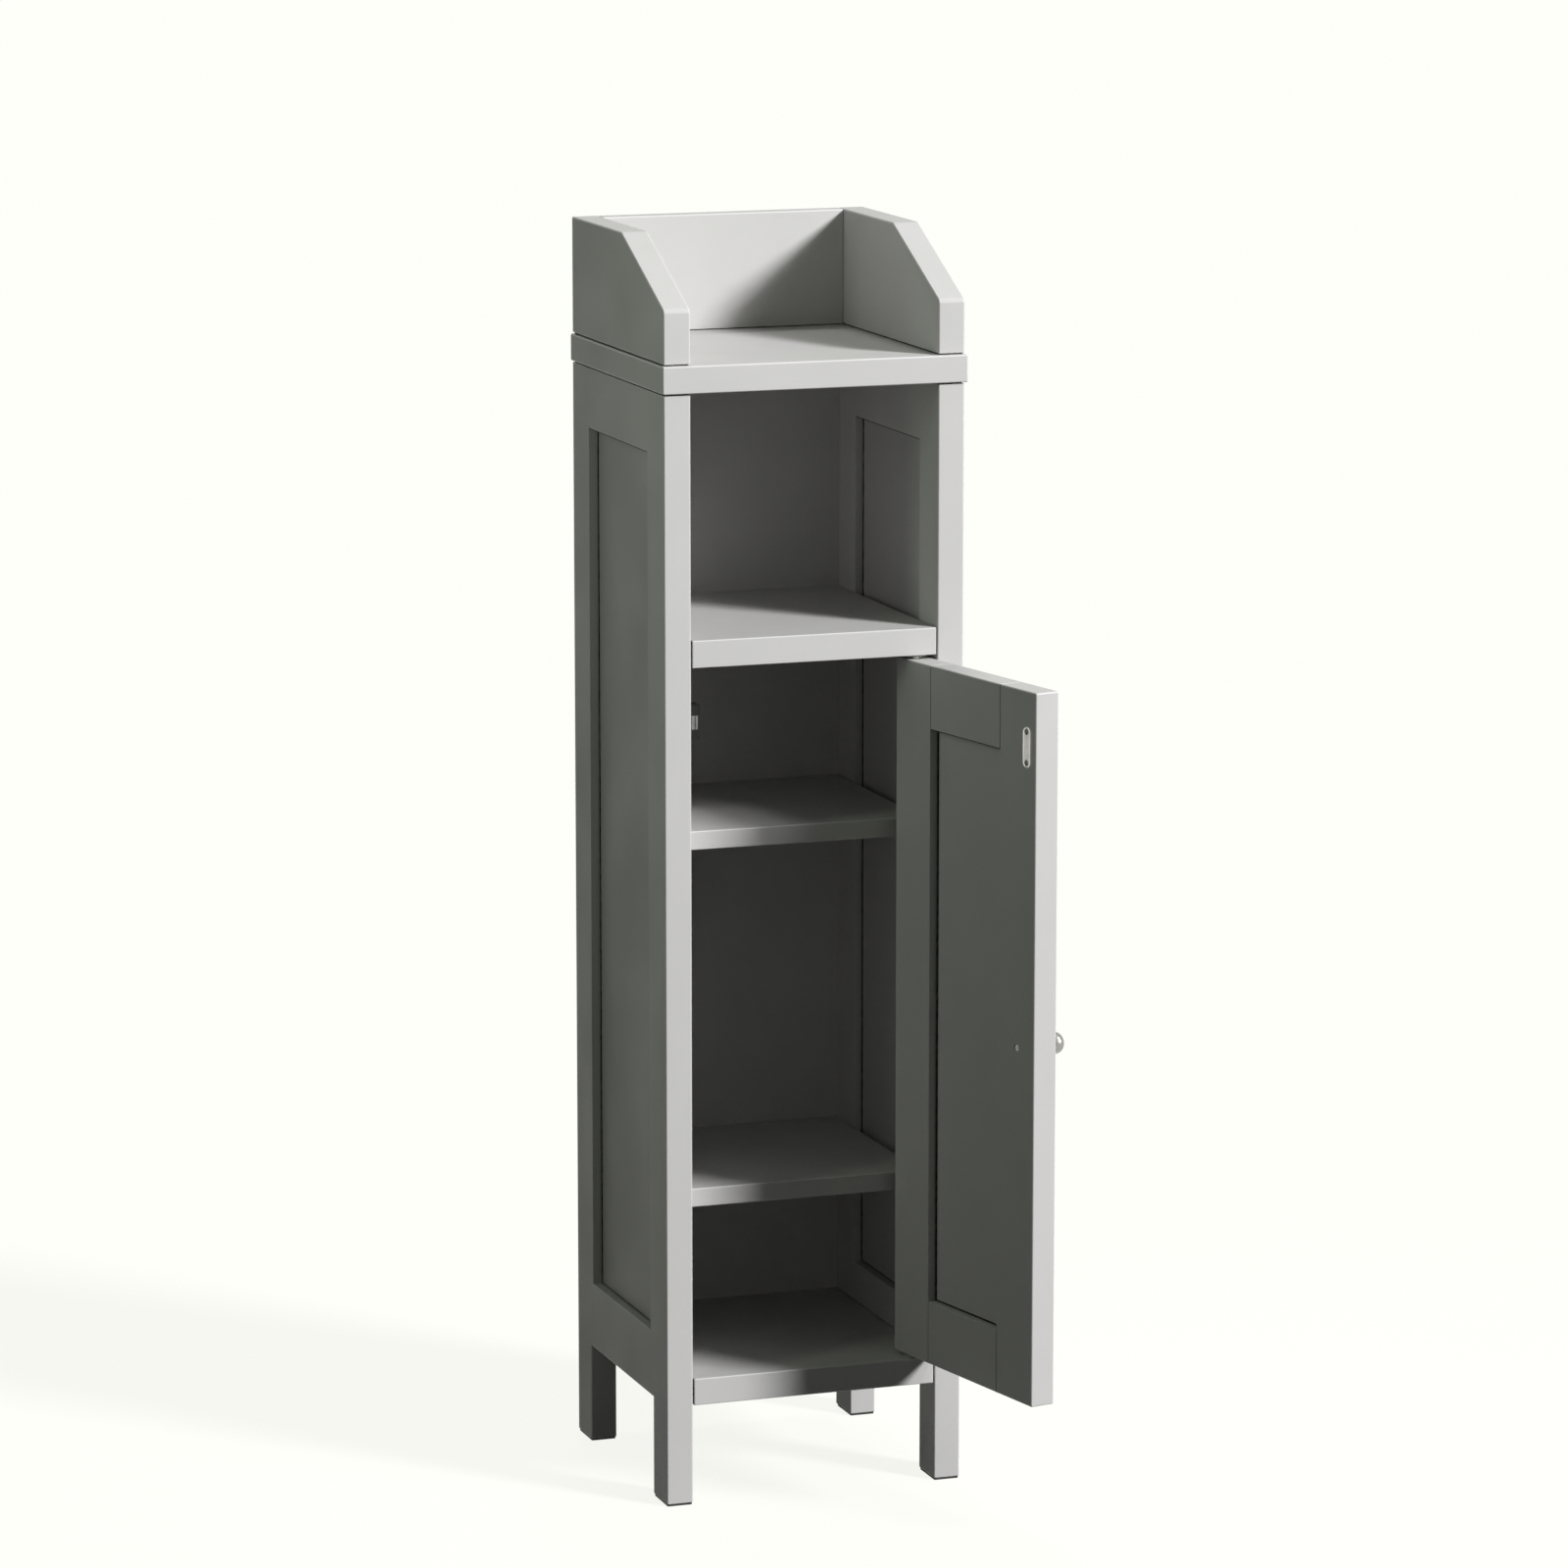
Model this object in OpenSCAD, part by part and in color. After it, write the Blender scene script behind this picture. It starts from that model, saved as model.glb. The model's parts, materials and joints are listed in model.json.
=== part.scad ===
/* [Cabinet] */
// Width of the top board
top_w = 300; // [284:1:340]
// Depth of the top board
top_d = 284; // [260:1:330]
// Height from the floor to the top of the gallery
total_h = 1200; // [1140:1:1320]
// Height of the bottom board's underside above the floor
leg_h = 97; // [80:1:120]
// How far the top board stands out past each side
side_overhang = 2; // [1:0.5:5]
// How far the top board stands out past the front
front_overhang = 4; // [1:0.5:8]
// Thickness of the pads under the legs
pad_t = 2; // [1.5:0.5:4]

/* [Boards] */
// Thickness of the top board, the fixed shelf and the bottom board
board_t = 26; // [24:1:30]
// Thickness of the two inner shelves
shelf_t = 18; // [15:1:22]
// Thickness of the back panel
back_t = 4; // [3:0.5:6]
// Radius of the outside edges
edge_r = 1.6; // [0.8:0.1:2]
// Radius of the fine edges where two pieces meet
joint_r = 0.5; // [0.3:0.1:0.8]

/* [Side frames] */
// Thickness of the stiles and rails
frame_t = 26; // [24:1:30]
// Width of the stiles, front to back
stile_w = 50; // [48:1:60]
// Width of the legs below the bottom rail, front to back
leg_w = 42; // [36:1:46]
// Height of the top rails
top_rail_h = 60; // [56:1:80]
// Height of the bottom rails
bottom_rail_h = 64; // [60:1:84]
// Thickness of the side panels
side_panel_t = 9; // [6:1:10]
// Depth of the panel's outer face below the frame's outer face
side_recess = 9; // [6:0.5:9]

/* [Gallery] */
// Height of the gallery at the back
gallery_h = 112; // [96:1:130]
// Height of the gallery sides at the front
gallery_front_h = 55; // [40:1:70]
// Length of the level top of the gallery sides
gallery_flat = 154; // [120:1:180]
// Thickness of the gallery's back board
gallery_back_t = 16; // [14:1:22]
// Radius of the upper bend of the gallery sides
knee_r = 14; // [6:1:20]
// Radius of the lower bend of the gallery sides
toe_r = 11; // [6:1:16]

/* [Shelves] */
// Clear height of the open niche
niche_h = 231; // [180:1:270]
// Clear height between the bottom board and the lower shelf
lower_bay_h = 157; // [120:1:200]
// Clear height between the upper shelf and the fixed shelf
upper_bay_h = 162; // [120:1:200]
// Distance of the inner shelves' front edge behind the cabinet's front
shelf_setback = 40; // [38:1:44]
// Gap at each end of the shelves and boards
end_gap = 1.2; // [0.9:0.1:1.5]

/* [Door] */
// Thickness of the door's stiles and rails
door_t = 25; // [22:1:27]
// Gap between the closed door and each side frame
door_side_gap = 2; // [1.8:0.1:3]
// Gap above and below the door
door_end_gap = 4; // [4:0.1:6]
// Width of the door's stiles
door_stile_w = 60; // [56:1:66]
// Height of the door's rails
door_rail_h = 61; // [52:1:72]
// Thickness of the door's panel
door_panel_t = 9; // [6:1:10]
// Distance of the hinge axis from the side frame's inner face
pivot_inset = 17; // [17:0.1:18]
// Radius of the door's outer edge beside the hinge axis
hinge_edge_r = 9; // [9:0.1:11]
// Angle that the door stands open, as shown
door_open = 102; // [60:1:103]

/* [Hardware] */
// Radius of the pivot pins
pin_r = 4; // [3:0.5:5]
// Depth of the pivot pins in the door
pin_in_door = 25; // [20:1:35]
// Depth of the pivot pins and their bushes in the boards
pin_in_board = 12; // [10:0.5:13]
// Wall of the bushes
bush_wall = 2; // [1.5:0.5:2.5]
// Diameter of the knob
knob_d = 21; // [16:1:26]
// Reach of the knob in front of the door
knob_reach = 26; // [24:0.5:34]
// Length of the strike plate
plate_l = 38; // [34:1:46]
// Width of the strike plate
plate_w = 12; // [9:0.5:14]
// Thickness of the strike plate
plate_t = 1.4; // [1:0.1:2]
// Distance of the strike plate's centre below the top of the door
plate_drop = 52; // [40:1:70]
// Distance of the strike plate's centre from the door's free edge
plate_inset = 14; // [12:0.5:16]
// Radius of the wooden dowels
dowel_r = 4; // [3:0.5:4]
// Radius of the shelf pins
shelf_pin_r = 2.5; // [2:0.5:3]

/* [Fits] */
// Gap around dowels, panels and fasteners that are pushed in
snug = 0.1; // [0.05:0.01:0.2]
// Gap around the pivot pins, where the door turns
play = 0.05; // [0.02:0.01:0.1]

/* [Hidden] */

$fn = 32;
// Extra length of a cutter past the surface that it cuts
over = 1;

// Cabinet: X runs from its middle, Y from the front of its side frames, Z from the floor
body_w = top_w - 2 * side_overhang;
body_d = top_d - front_overhang;
inner_x = body_w / 2 - frame_t;
frame_mid_x = inner_x + frame_t / 2;
top_z = total_h - gallery_h;
frame_top_z = top_z - board_t;
bottom_z = leg_h + board_t;
fixed_z = frame_top_z - niche_h - board_t;
lower_shelf_z = bottom_z + lower_bay_h;
upper_shelf_z = fixed_z - upper_bay_h - shelf_t;
rail_l = body_d - 2 * stile_w;

// Grooves that hold the panels
groove_d = 9;
tongue_d = 8;

// Back panel, let into the rear stiles
back_lap = 8;
back_y = body_d - back_t;

// Dowels in the corners of the frames, and the room left at the end of a blind hole
hole_end = 1;
dowel_l = 36;
dowel_hole = dowel_l / 2 + hole_end;
rail_dowel_offset = 22;
dowel_to_groove = dowel_r + 3;
bottom_dowel_z = [leg_h + rail_dowel_offset, leg_h + bottom_rail_h - groove_d - dowel_to_groove];
top_dowel_z = [frame_top_z - top_rail_h + groove_d + dowel_to_groove, frame_top_z - rail_dowel_offset];
rail_dowel_z = concat(bottom_dowel_z, top_dowel_z);

// Connecting bolts and cam locks, which pull the boards against the stiles
bolt_r = 2.5;
bolt_thread_l = 10.5;
bolt_neck_r = 3;
bolt_head_r = 3.4;
bolt_head_l = 4;
bolt_bore_r = 4;
cam_r = 7.5;
cam_reach = 24;
cam_h = board_t / 2 + bolt_bore_r;
cam_slot_w = 1.6;
cam_slot_d = 2;
cam_slot_l = 11;
bolt_y = 32;

// Pins of the inner shelves
shelf_pin_in = frame_t - side_recess - side_panel_t - 1.5;
shelf_pin_out = 9;
pin_collar_r = 4;
pin_collar_t = 0.8;
front_pin_y = stile_w - 5;
rear_pin_y = body_d - 25;

// Screws through the top board into the stiles, and up into the gallery's back board
top_screw_r = 2.5;
top_screw_head_r = 5;
top_screw_l = 55;
top_screw_y = 25;
gallery_screw_r = 2;
gallery_screw_head_r = 4;
gallery_screw_l = 50;
gallery_screw_x = 70;
gallery_dowel_in = 12;
gallery_dowel_y = [75, body_d - 75];
back_dowel_z = [30, gallery_h - 30];

// Small countersunk screws of the back panel, the catch and the strike plate
small_screw_r = 1.5;
small_head_r = 3;
back_screw_l = 15;
back_screw_inset = 4;
back_screw_rows = 5;
back_screw_end = 50;
board_screw_x = 60;

// Door, drawn closed and then turned open about the hinge axis
door_x = inner_x - door_side_gap;
door_z = bottom_z + door_end_gap;
door_h = fixed_z - bottom_z - 2 * door_end_gap;
door_rail_l = 2 * (door_x - door_stile_w);
pivot_x = inner_x - pivot_inset;
pivot_y = door_t / 2;
door_dowel_offset = 18;

// Pivot pins and their bushes
bush_r = pin_r + play + bush_wall;
flange_r = bush_r + 3;
flange_t = 2;
bush_floor = 1;
pin_end_gap = 2;
collar_r = pin_r + 3;
collar_gap = 0.1;

// Knob on the middle of the free stile
knob_x = -door_x + door_stile_w / 2;
knob_z = door_z + door_h / 2;
knob_head_h = 8.5;
knob_neck_r = 4.6;
knob_base_r = 6.5;
knob_base_t = 1.6;
knob_base_edge = 0.4;
knob_cove_h = 3;
knob_screw_r = 2;
knob_screw_in = 12;
screw_head_r = 3.8;
screw_head_t = 2.6;
screw_head_room = 0.6;
screw_slot_w = 1;
screw_slot_d = 1;
screw_slot_l = 5.6;
screw_sink = 4;

// Strike plate and magnetic catch
plate_x = -door_x + plate_inset;
plate_z = door_z + door_h - plate_drop;
plate_screw_spacing = plate_l - 9;
plate_screw_l = 14;
catch_gap = 0.3;
catch_y = door_t + plate_t + catch_gap;
pole_proud = 0.8;
catch_d = 16;
catch_l = 33;
catch_w = plate_inset + door_side_gap + 1.5;
catch_wall = 2.3;
catch_front_r = 1;
catch_side_r = 0.6;
catch_screw_spacing = catch_l - 9;
catch_screw_l = 16;
catch_foot = 4;
screw_access = 0.5;
magnet_w = 2.4;
magnet_l = 13;
magnet_d = 12;
pole_t = 1.8;
magnet_x = -inner_x + catch_w - catch_wall - snug - pole_t - magnet_w / 2;

// Middle of the footprint with the door open, which is the model's own origin
function opened(x, y) = [
    pivot_x + cos(door_open) * (x - pivot_x) - sin(door_open) * (y - pivot_y),
    pivot_y + sin(door_open) * (x - pivot_x) + cos(door_open) * (y - pivot_y)
];
knob_middle = opened(knob_x, knob_head_h - knob_reach);
knob_half_x = norm([knob_head_h * sin(door_open), knob_d / 2 * cos(door_open)]);
origin_x = (knob_middle.x + knob_half_x - top_w / 2) / 2;
origin_y = (opened(-door_x, door_t).y + body_d) / 2;

module in_cabinet() {
    translate([-origin_x, -origin_y, 0]) children();
}

module on_door() {
    in_cabinet()
        translate([pivot_x, pivot_y, 0])
            rotate([0, 0, door_open])
                translate([-pivot_x, -pivot_y, 0]) children();
}

module grey_paint() {
    color([0.80, 0.80, 0.78]) children();
}

module steel() {
    color([0.72, 0.72, 0.73]) children();
}

module wood() {
    color([0.80, 0.66, 0.46]) children();
}

module nylon() {
    color([0.88, 0.88, 0.85]) children();
}

module dark() {
    color([0.10, 0.10, 0.10]) children();
}

// Rectangle with a radius of its own on each corner, counted from the origin and anticlockwise
module section(size, radii) {
    corners = [[0, 0], [size.x, 0], size, [0, size.y]];
    difference() {
        square(size);
        for (i = [0:3]) {
            if (radii[i] > 0) {
                translate(corners[i]) rotate([0, 0, 90 * i]) difference() {
                    translate([-over, -over]) square(radii[i] + over);
                    translate([radii[i], radii[i]]) circle(radii[i]);
                }
            }
        }
    }
}

// Board whose edges along X, Y and Z have radii of their own
module board(size, rx = [0, 0, 0, 0], ry = [0, 0, 0, 0], rz = [0, 0, 0, 0]) {
    intersection() {
        linear_extrude(size.z) section([size.x, size.y], rz);
        rotate([90, 0, 90]) linear_extrude(size.x) section([size.y, size.z], rx);
        translate([0, size.y, 0]) rotate([90, 0, 0])
            linear_extrude(size.y) section([size.x, size.z], ry);
    }
}

// Round bar from the origin along +X or +Y, also used to cut its own hole
module bar_x(r, l) {
    rotate([0, 90, 0]) cylinder(r = r, h = l);
}

module bar_y(r, l) {
    rotate([-90, 0, 0]) cylinder(r = r, h = l);
}

// Countersunk screw along +Z with its head at the origin; grow turns it into its hole's cutter
module flat_screw(r, head_r, l, grow = 0) {
    mouth = grow > 0 ? over : 0;
    rotate_extrude() polygon([
        [0, -mouth], [head_r + grow, -mouth], [head_r + grow, 0],
        [r + grow, head_r - r], [r + grow, l - r + grow], [0, l + grow]
    ]);
}

module top_screw(grow = 0) {
    mirror([0, 0, 1]) flat_screw(top_screw_r, top_screw_head_r, top_screw_l, grow);
}

module gallery_screw(grow = 0) {
    flat_screw(gallery_screw_r, gallery_screw_head_r, gallery_screw_l, grow);
}

module small_screw(l, grow = 0) {
    flat_screw(small_screw_r, small_head_r, l, grow);
}

// Side frames: drawn for the right-hand side, with X from the cabinet's middle
module on_side(side) {
    mirror([side < 0 ? 1 : 0, 0, 0]) children();
}

module panel_groove(from_z, to_z, y) {
    translate([inner_x + frame_t - side_recess - side_panel_t - snug, y, from_z])
        cube([side_panel_t + 2 * snug, groove_d + over, to_z - from_z]);
}

module stile_holes(bolts_y, pins_y) {
    for (z = [leg_h + board_t / 2, fixed_z + board_t / 2]) {
        translate([inner_x - over, bolts_y, z]) bar_x(bolt_r + snug / 2, bolt_thread_l + over + snug);
    }
    for (z = [lower_shelf_z, upper_shelf_z]) {
        translate([inner_x - over, pins_y, z - shelf_pin_r])
            bar_x(shelf_pin_r + snug / 2, shelf_pin_in + over + snug);
    }
}

// Stile with its leg; the step at the bottom rail faces the middle of the side
module stile_blank(front) {
    y = front ? 0 : body_d - stile_w;
    leg_y = front ? 0 : body_d - leg_w;
    top_edge = front ? [0, 0, 0, edge_r] : [0, 0, edge_r, 0];
    corners = front ? [edge_r, edge_r, 0, 0] : [0, 0, edge_r, edge_r];
    translate([inner_x, y, leg_h])
        board([frame_t, stile_w, frame_top_z - leg_h], rx = top_edge, ry = [0, 0, edge_r, edge_r],
            rz = corners);
    translate([inner_x, leg_y, pad_t])
        board([frame_t, leg_w, leg_h - pad_t + over], rz = [edge_r, edge_r, edge_r, edge_r]);
}

module front_stile(side) {
    grey_paint() in_cabinet() on_side(side) difference() {
        stile_blank(true);
        panel_groove(leg_h + bottom_rail_h - groove_d, frame_top_z - top_rail_h + groove_d,
            stile_w - groove_d);
        stile_holes(bolt_y, front_pin_y);
        for (z = rail_dowel_z) {
            translate([frame_mid_x, stile_w - dowel_hole, z]) bar_y(dowel_r + snug, dowel_hole + over);
        }
        translate([frame_mid_x, top_screw_y, top_z])
            top_screw(snug / 2);
        if (side < 0) {
            catch_holes();
        }
    }
}

module rear_stile(side) {
    grey_paint() in_cabinet() on_side(side) difference() {
        stile_blank(false);
        translate([0, body_d - stile_w - over, 0])
            panel_groove(leg_h + bottom_rail_h - groove_d, frame_top_z - top_rail_h + groove_d, 0);
        stile_holes(body_d - bolt_y, rear_pin_y);
        for (z = rail_dowel_z) {
            translate([frame_mid_x, body_d - stile_w - over, z]) bar_y(dowel_r + snug, dowel_hole + over);
        }
        translate([frame_mid_x, body_d - top_screw_y, top_z])
            top_screw(snug / 2);
        translate([inner_x - over, back_y - snug, leg_h - over])
            cube([back_lap + snug + over, back_t + snug + over, frame_top_z - leg_h + 2 * over]);
        for (z = back_screw_z()) {
            translate([inner_x + back_screw_inset, body_d, z]) back_screw(snug / 2);
        }
    }
}

module rail_dowel_holes(zs) {
    for (z = zs) {
        translate([frame_mid_x, stile_w - over, z]) bar_y(dowel_r + snug, dowel_hole + over);
        translate([frame_mid_x, body_d - stile_w - dowel_hole, z])
            bar_y(dowel_r + snug, dowel_hole + over);
    }
}

module rail_groove(z) {
    translate([inner_x + frame_t - side_recess - side_panel_t - snug, stile_w - over, z])
        cube([side_panel_t + 2 * snug, rail_l + 2 * over, groove_d + over]);
}

module top_rail(side) {
    grey_paint() in_cabinet() on_side(side) difference() {
        translate([inner_x, stile_w, frame_top_z - top_rail_h])
            board([frame_t, rail_l, top_rail_h], ry = [joint_r, joint_r, edge_r, edge_r]);
        translate([0, 0, -over]) rail_groove(frame_top_z - top_rail_h);
        rail_dowel_holes(top_dowel_z);
    }
}

module bottom_rail(side) {
    grey_paint() in_cabinet() on_side(side) difference() {
        translate([inner_x, stile_w, leg_h])
            board([frame_t, rail_l, bottom_rail_h], ry = [edge_r, edge_r, joint_r, joint_r]);
        rail_groove(leg_h + bottom_rail_h - groove_d);
        rail_dowel_holes(bottom_dowel_z);
    }
}

module side_panel(side) {
    z = leg_h + bottom_rail_h - tongue_d;
    grey_paint() in_cabinet() on_side(side)
        translate([inner_x + frame_t - side_recess - side_panel_t, stile_w - tongue_d, z])
            cube([side_panel_t, rail_l + 2 * tongue_d, frame_top_z - top_rail_h + tongue_d - z]);
}

// Boards
module top_board() {
    r = [for (i = [0:3]) edge_r];
    grey_paint() in_cabinet() difference() {
        translate([-top_w / 2, -front_overhang, frame_top_z])
            board([top_w, top_d, board_t], rx = r, ry = r, rz = r);
        for (side = [-1, 1]) {
            for (y = [top_screw_y, body_d - top_screw_y]) {
                translate([side * frame_mid_x, y, top_z])
                    top_screw(snug / 2);
            }
            for (y = gallery_dowel_y) {
                translate([side * frame_mid_x, y, top_z - gallery_dowel_in - hole_end])
                    cylinder(r = dowel_r + snug, h = gallery_dowel_in + hole_end + over);
            }
            translate([side * gallery_screw_x, body_d - gallery_back_t / 2, frame_top_z])
                gallery_screw(snug / 2);
        }
    }
}

// Where the boards take the connecting bolts and cam locks
module bolt_places(z) {
    for (side = [-1, 1]) {
        for (y = [bolt_y, body_d - bolt_y]) {
            translate([0, y, z]) on_side(side) children();
        }
    }
}

module cam_board(z) {
    difference() {
        translate([end_gap - inner_x, 0, z])
            board([2 * (inner_x - end_gap), back_y, board_t], rx = [edge_r, 0, 0, edge_r],
                rz = [joint_r, joint_r, 0, 0]);
        bolt_places(z) {
            translate([inner_x - end_gap - cam_reach, 0, board_t / 2])
                bar_x(bolt_bore_r, cam_reach + over);
        }
        bolt_places(z - over) {
            translate([inner_x - end_gap - cam_reach, 0, 0])
                cylinder(r = cam_r + snug, h = cam_h + over + snug);
        }
        for (x = [-board_screw_x, board_screw_x]) {
            translate([x, body_d, z + board_t / 2]) back_screw(snug / 2);
        }
    }
}

module fixed_shelf() {
    grey_paint() in_cabinet() difference() {
        cam_board(fixed_z);
        translate([pivot_x, pivot_y, fixed_z - over])
            cylinder(r = bush_r + snug / 2, h = pin_in_board + over + snug);
    }
}

module bottom_board() {
    grey_paint() in_cabinet() difference() {
        cam_board(leg_h);
        translate([pivot_x, pivot_y, bottom_z - pin_in_board - snug])
            cylinder(r = bush_r + snug / 2, h = pin_in_board + over + snug);
    }
}

module inner_shelf(z) {
    grey_paint() in_cabinet() translate([end_gap - inner_x, shelf_setback, z])
        board([2 * (inner_x - end_gap), back_y - end_gap - shelf_setback, shelf_t],
            rx = [edge_r, 0, 0, edge_r], rz = [joint_r, joint_r, 0, 0]);
}

module back_panel() {
    grey_paint() in_cabinet() difference() {
        translate([-inner_x - back_lap, back_y, leg_h])
            cube([2 * (inner_x + back_lap), back_t, frame_top_z - leg_h]);
        back_screw_places() back_screw(snug / 2);
    }
}

// Gallery side, drawn from its outline and layers that round both of its faces
function bend_tangent(turn, r) = r * tan(turn / 2);

module gallery_outline(inset) {
    slope = atan2(gallery_h - gallery_front_h, body_d - gallery_flat);
    knee = [body_d - gallery_flat, gallery_h];
    toe = [0, gallery_front_h];
    knee_t = bend_tangent(slope, knee_r);
    toe_t = bend_tangent(90 - slope, toe_r);
    knee_c = [knee.x + knee_t, gallery_h - knee_r];
    toe_c = [toe_r, toe.y - toe_t];
    steps = 6;
    polygon(concat(
        [[inset, inset], [body_d - inset, inset], [body_d - inset, gallery_h - inset]],
        [for (i = [0:steps]) let (a = slope * i / steps)
            knee_c + (knee_r - inset) * [-sin(a), cos(a)]],
        [for (i = [0:steps]) let (a = slope + (90 - slope) * i / steps)
            toe_c + (toe_r - inset) * [-sin(a), cos(a)]]
    ));
}

module gallery_side(side) {
    layers = 3;
    grey_paint() in_cabinet() on_side(side) translate([0, 0, top_z]) difference() {
        translate([inner_x + frame_t / 2, 0, 0]) rotate([90, 0, 90]) hull() {
            for (i = [0:layers]) {
                a = 90 * i / layers;
                half = frame_t / 2 - edge_r * (1 - sin(a));
                translate([0, 0, -half]) linear_extrude(2 * half) gallery_outline(edge_r * (1 - cos(a)));
            }
        }
        for (y = gallery_dowel_y) {
            translate([frame_mid_x, y, -over])
                cylinder(r = dowel_r + snug, h = dowel_l - gallery_dowel_in + hole_end + over);
        }
        for (z = back_dowel_z) {
            translate([inner_x - over, body_d - gallery_back_t / 2, z])
                bar_x(dowel_r + snug, dowel_hole + over);
        }
    }
}

module gallery_back() {
    grey_paint() in_cabinet() difference() {
        translate([-inner_x, body_d - gallery_back_t, top_z])
            board([2 * inner_x, gallery_back_t, gallery_h], rx = [joint_r, joint_r, edge_r, edge_r]);
        for (side = [-1, 1]) {
            on_side(side) {
                for (z = back_dowel_z) {
                    translate([inner_x - dowel_hole, body_d - gallery_back_t / 2, top_z + z])
                        bar_x(dowel_r + snug, dowel_hole + over);
                }
                translate([gallery_screw_x, body_d - gallery_back_t / 2, frame_top_z])
                    gallery_screw(snug / 2);
            }
        }
    }
}

// Pads, pins, dowels and screws of the cabinet
module foot_pads() {
    rim = 0.8;
    dark() in_cabinet() {
        for (side = [-1, 1]) {
            for (y = [rim, body_d - leg_w + rim]) {
                on_side(side) translate([inner_x + rim, y, 0])
                    linear_extrude(pad_t)
                        section([frame_t - 2 * rim, leg_w - 2 * rim], [for (i = [0:3]) edge_r]);
            }
        }
    }
}

module shelf_pin() {
    translate([inner_x + shelf_pin_in, 0, 0]) mirror([1, 0, 0])
        bar_x(shelf_pin_r, shelf_pin_in + shelf_pin_out);
    translate([inner_x - pin_collar_t, 0, 0]) bar_x(pin_collar_r, pin_collar_t);
}

module shelf_pins() {
    steel() in_cabinet() {
        for (side = [-1, 1]) {
            for (y = [front_pin_y, rear_pin_y]) {
                for (z = [lower_shelf_z, upper_shelf_z]) {
                    on_side(side) translate([0, y, z - shelf_pin_r]) shelf_pin();
                }
            }
        }
    }
}

module frame_dowels() {
    wood() in_cabinet() {
        for (side = [-1, 1]) {
            for (y = [stile_w, body_d - stile_w]) {
                for (z = rail_dowel_z) {
                    on_side(side) translate([frame_mid_x, y - dowel_l / 2, z]) bar_y(dowel_r, dowel_l);
                }
            }
        }
    }
}

module gallery_dowels() {
    wood() in_cabinet() {
        for (side = [-1, 1]) {
            on_side(side) {
                for (y = gallery_dowel_y) {
                    translate([frame_mid_x, y, top_z - gallery_dowel_in])
                        cylinder(r = dowel_r, h = dowel_l);
                }
                for (z = back_dowel_z) {
                    translate([inner_x - dowel_l / 2, body_d - gallery_back_t / 2, top_z + z])
                        bar_x(dowel_r, dowel_l);
                }
            }
        }
    }
}

module board_bolt() {
    neck_l = end_gap + cam_reach - bolt_head_l;
    translate([inner_x - neck_l, 0, 0]) bar_x(bolt_neck_r, neck_l);
    translate([inner_x - neck_l - bolt_head_l / 2, 0, 0]) bar_x(bolt_head_r, bolt_head_l);
    translate([inner_x, 0, 0]) bar_x(bolt_r, bolt_thread_l);
}

module board_bolts() {
    steel() in_cabinet() {
        for (z = [leg_h, fixed_z]) {
            bolt_places(z + board_t / 2) board_bolt();
        }
    }
}

module cam_lock() {
    difference() {
        cylinder(r = cam_r, h = cam_h);
        translate([0, 0, board_t / 2]) bar_x(bolt_bore_r, cam_r + over);
        for (a = [0, 90]) {
            rotate([0, 0, a]) translate([-cam_slot_l / 2, -cam_slot_w / 2, -over])
                cube([cam_slot_l, cam_slot_w, cam_slot_d + over]);
        }
    }
}

module cam_locks() {
    steel() in_cabinet() {
        for (z = [leg_h, fixed_z]) {
            bolt_places(z) translate([inner_x - end_gap - cam_reach, 0, 0]) cam_lock();
        }
    }
}

module top_screws() {
    steel() in_cabinet() {
        for (side = [-1, 1]) {
            for (y = [top_screw_y, body_d - top_screw_y]) {
                translate([side * frame_mid_x, y, top_z]) top_screw();
            }
        }
    }
}

module gallery_screws() {
    steel() in_cabinet() {
        for (x = [-gallery_screw_x, gallery_screw_x]) {
            translate([x, body_d - gallery_back_t / 2, frame_top_z]) gallery_screw();
        }
    }
}

function back_screw_z() = [
    for (i = [0:back_screw_rows - 1])
        leg_h + back_screw_end + i * (frame_top_z - leg_h - 2 * back_screw_end) / (back_screw_rows - 1)
];

module back_screw(grow = 0) {
    rotate([90, 0, 0]) small_screw(back_screw_l, grow);
}

module back_screw_places() {
    for (side = [-1, 1]) {
        for (z = back_screw_z()) {
            translate([side * (inner_x + back_screw_inset), body_d, z]) children();
        }
        for (z = [leg_h, fixed_z]) {
            translate([side * board_screw_x, body_d, z + board_t / 2]) children();
        }
    }
}

module back_screws() {
    steel() in_cabinet() back_screw_places() back_screw();
}

// Bushes that carry the pivot pins: the flange lies on the board, the sleeve goes in
module bush() {
    difference() {
        union() {
            cylinder(r = bush_r, h = pin_in_board);
            translate([0, 0, -flange_t]) cylinder(r = flange_r, h = flange_t);
        }
        translate([0, 0, -flange_t - over])
            cylinder(r = pin_r + play, h = pin_in_board + flange_t + over - bush_floor);
    }
}

module lower_bush() {
    nylon() in_cabinet() translate([pivot_x, pivot_y, bottom_z]) mirror([0, 0, 1]) bush();
}

module upper_bush() {
    nylon() in_cabinet() translate([pivot_x, pivot_y, fixed_z]) bush();
}

// Magnetic catch on the left side frame, behind the strike plate
module catch_screw(grow = 0) {
    translate([-inner_x + catch_foot, 0, 0]) rotate([0, -90, 0]) small_screw(catch_screw_l, grow);
}

module catch_places() {
    for (s = [-1, 1]) {
        translate([0, catch_y + pole_proud + catch_d / 2, plate_z + s * catch_screw_spacing / 2])
            children();
    }
}

module catch_holes() {
    mirror([1, 0, 0]) catch_places() catch_screw(snug / 2);
}

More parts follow.
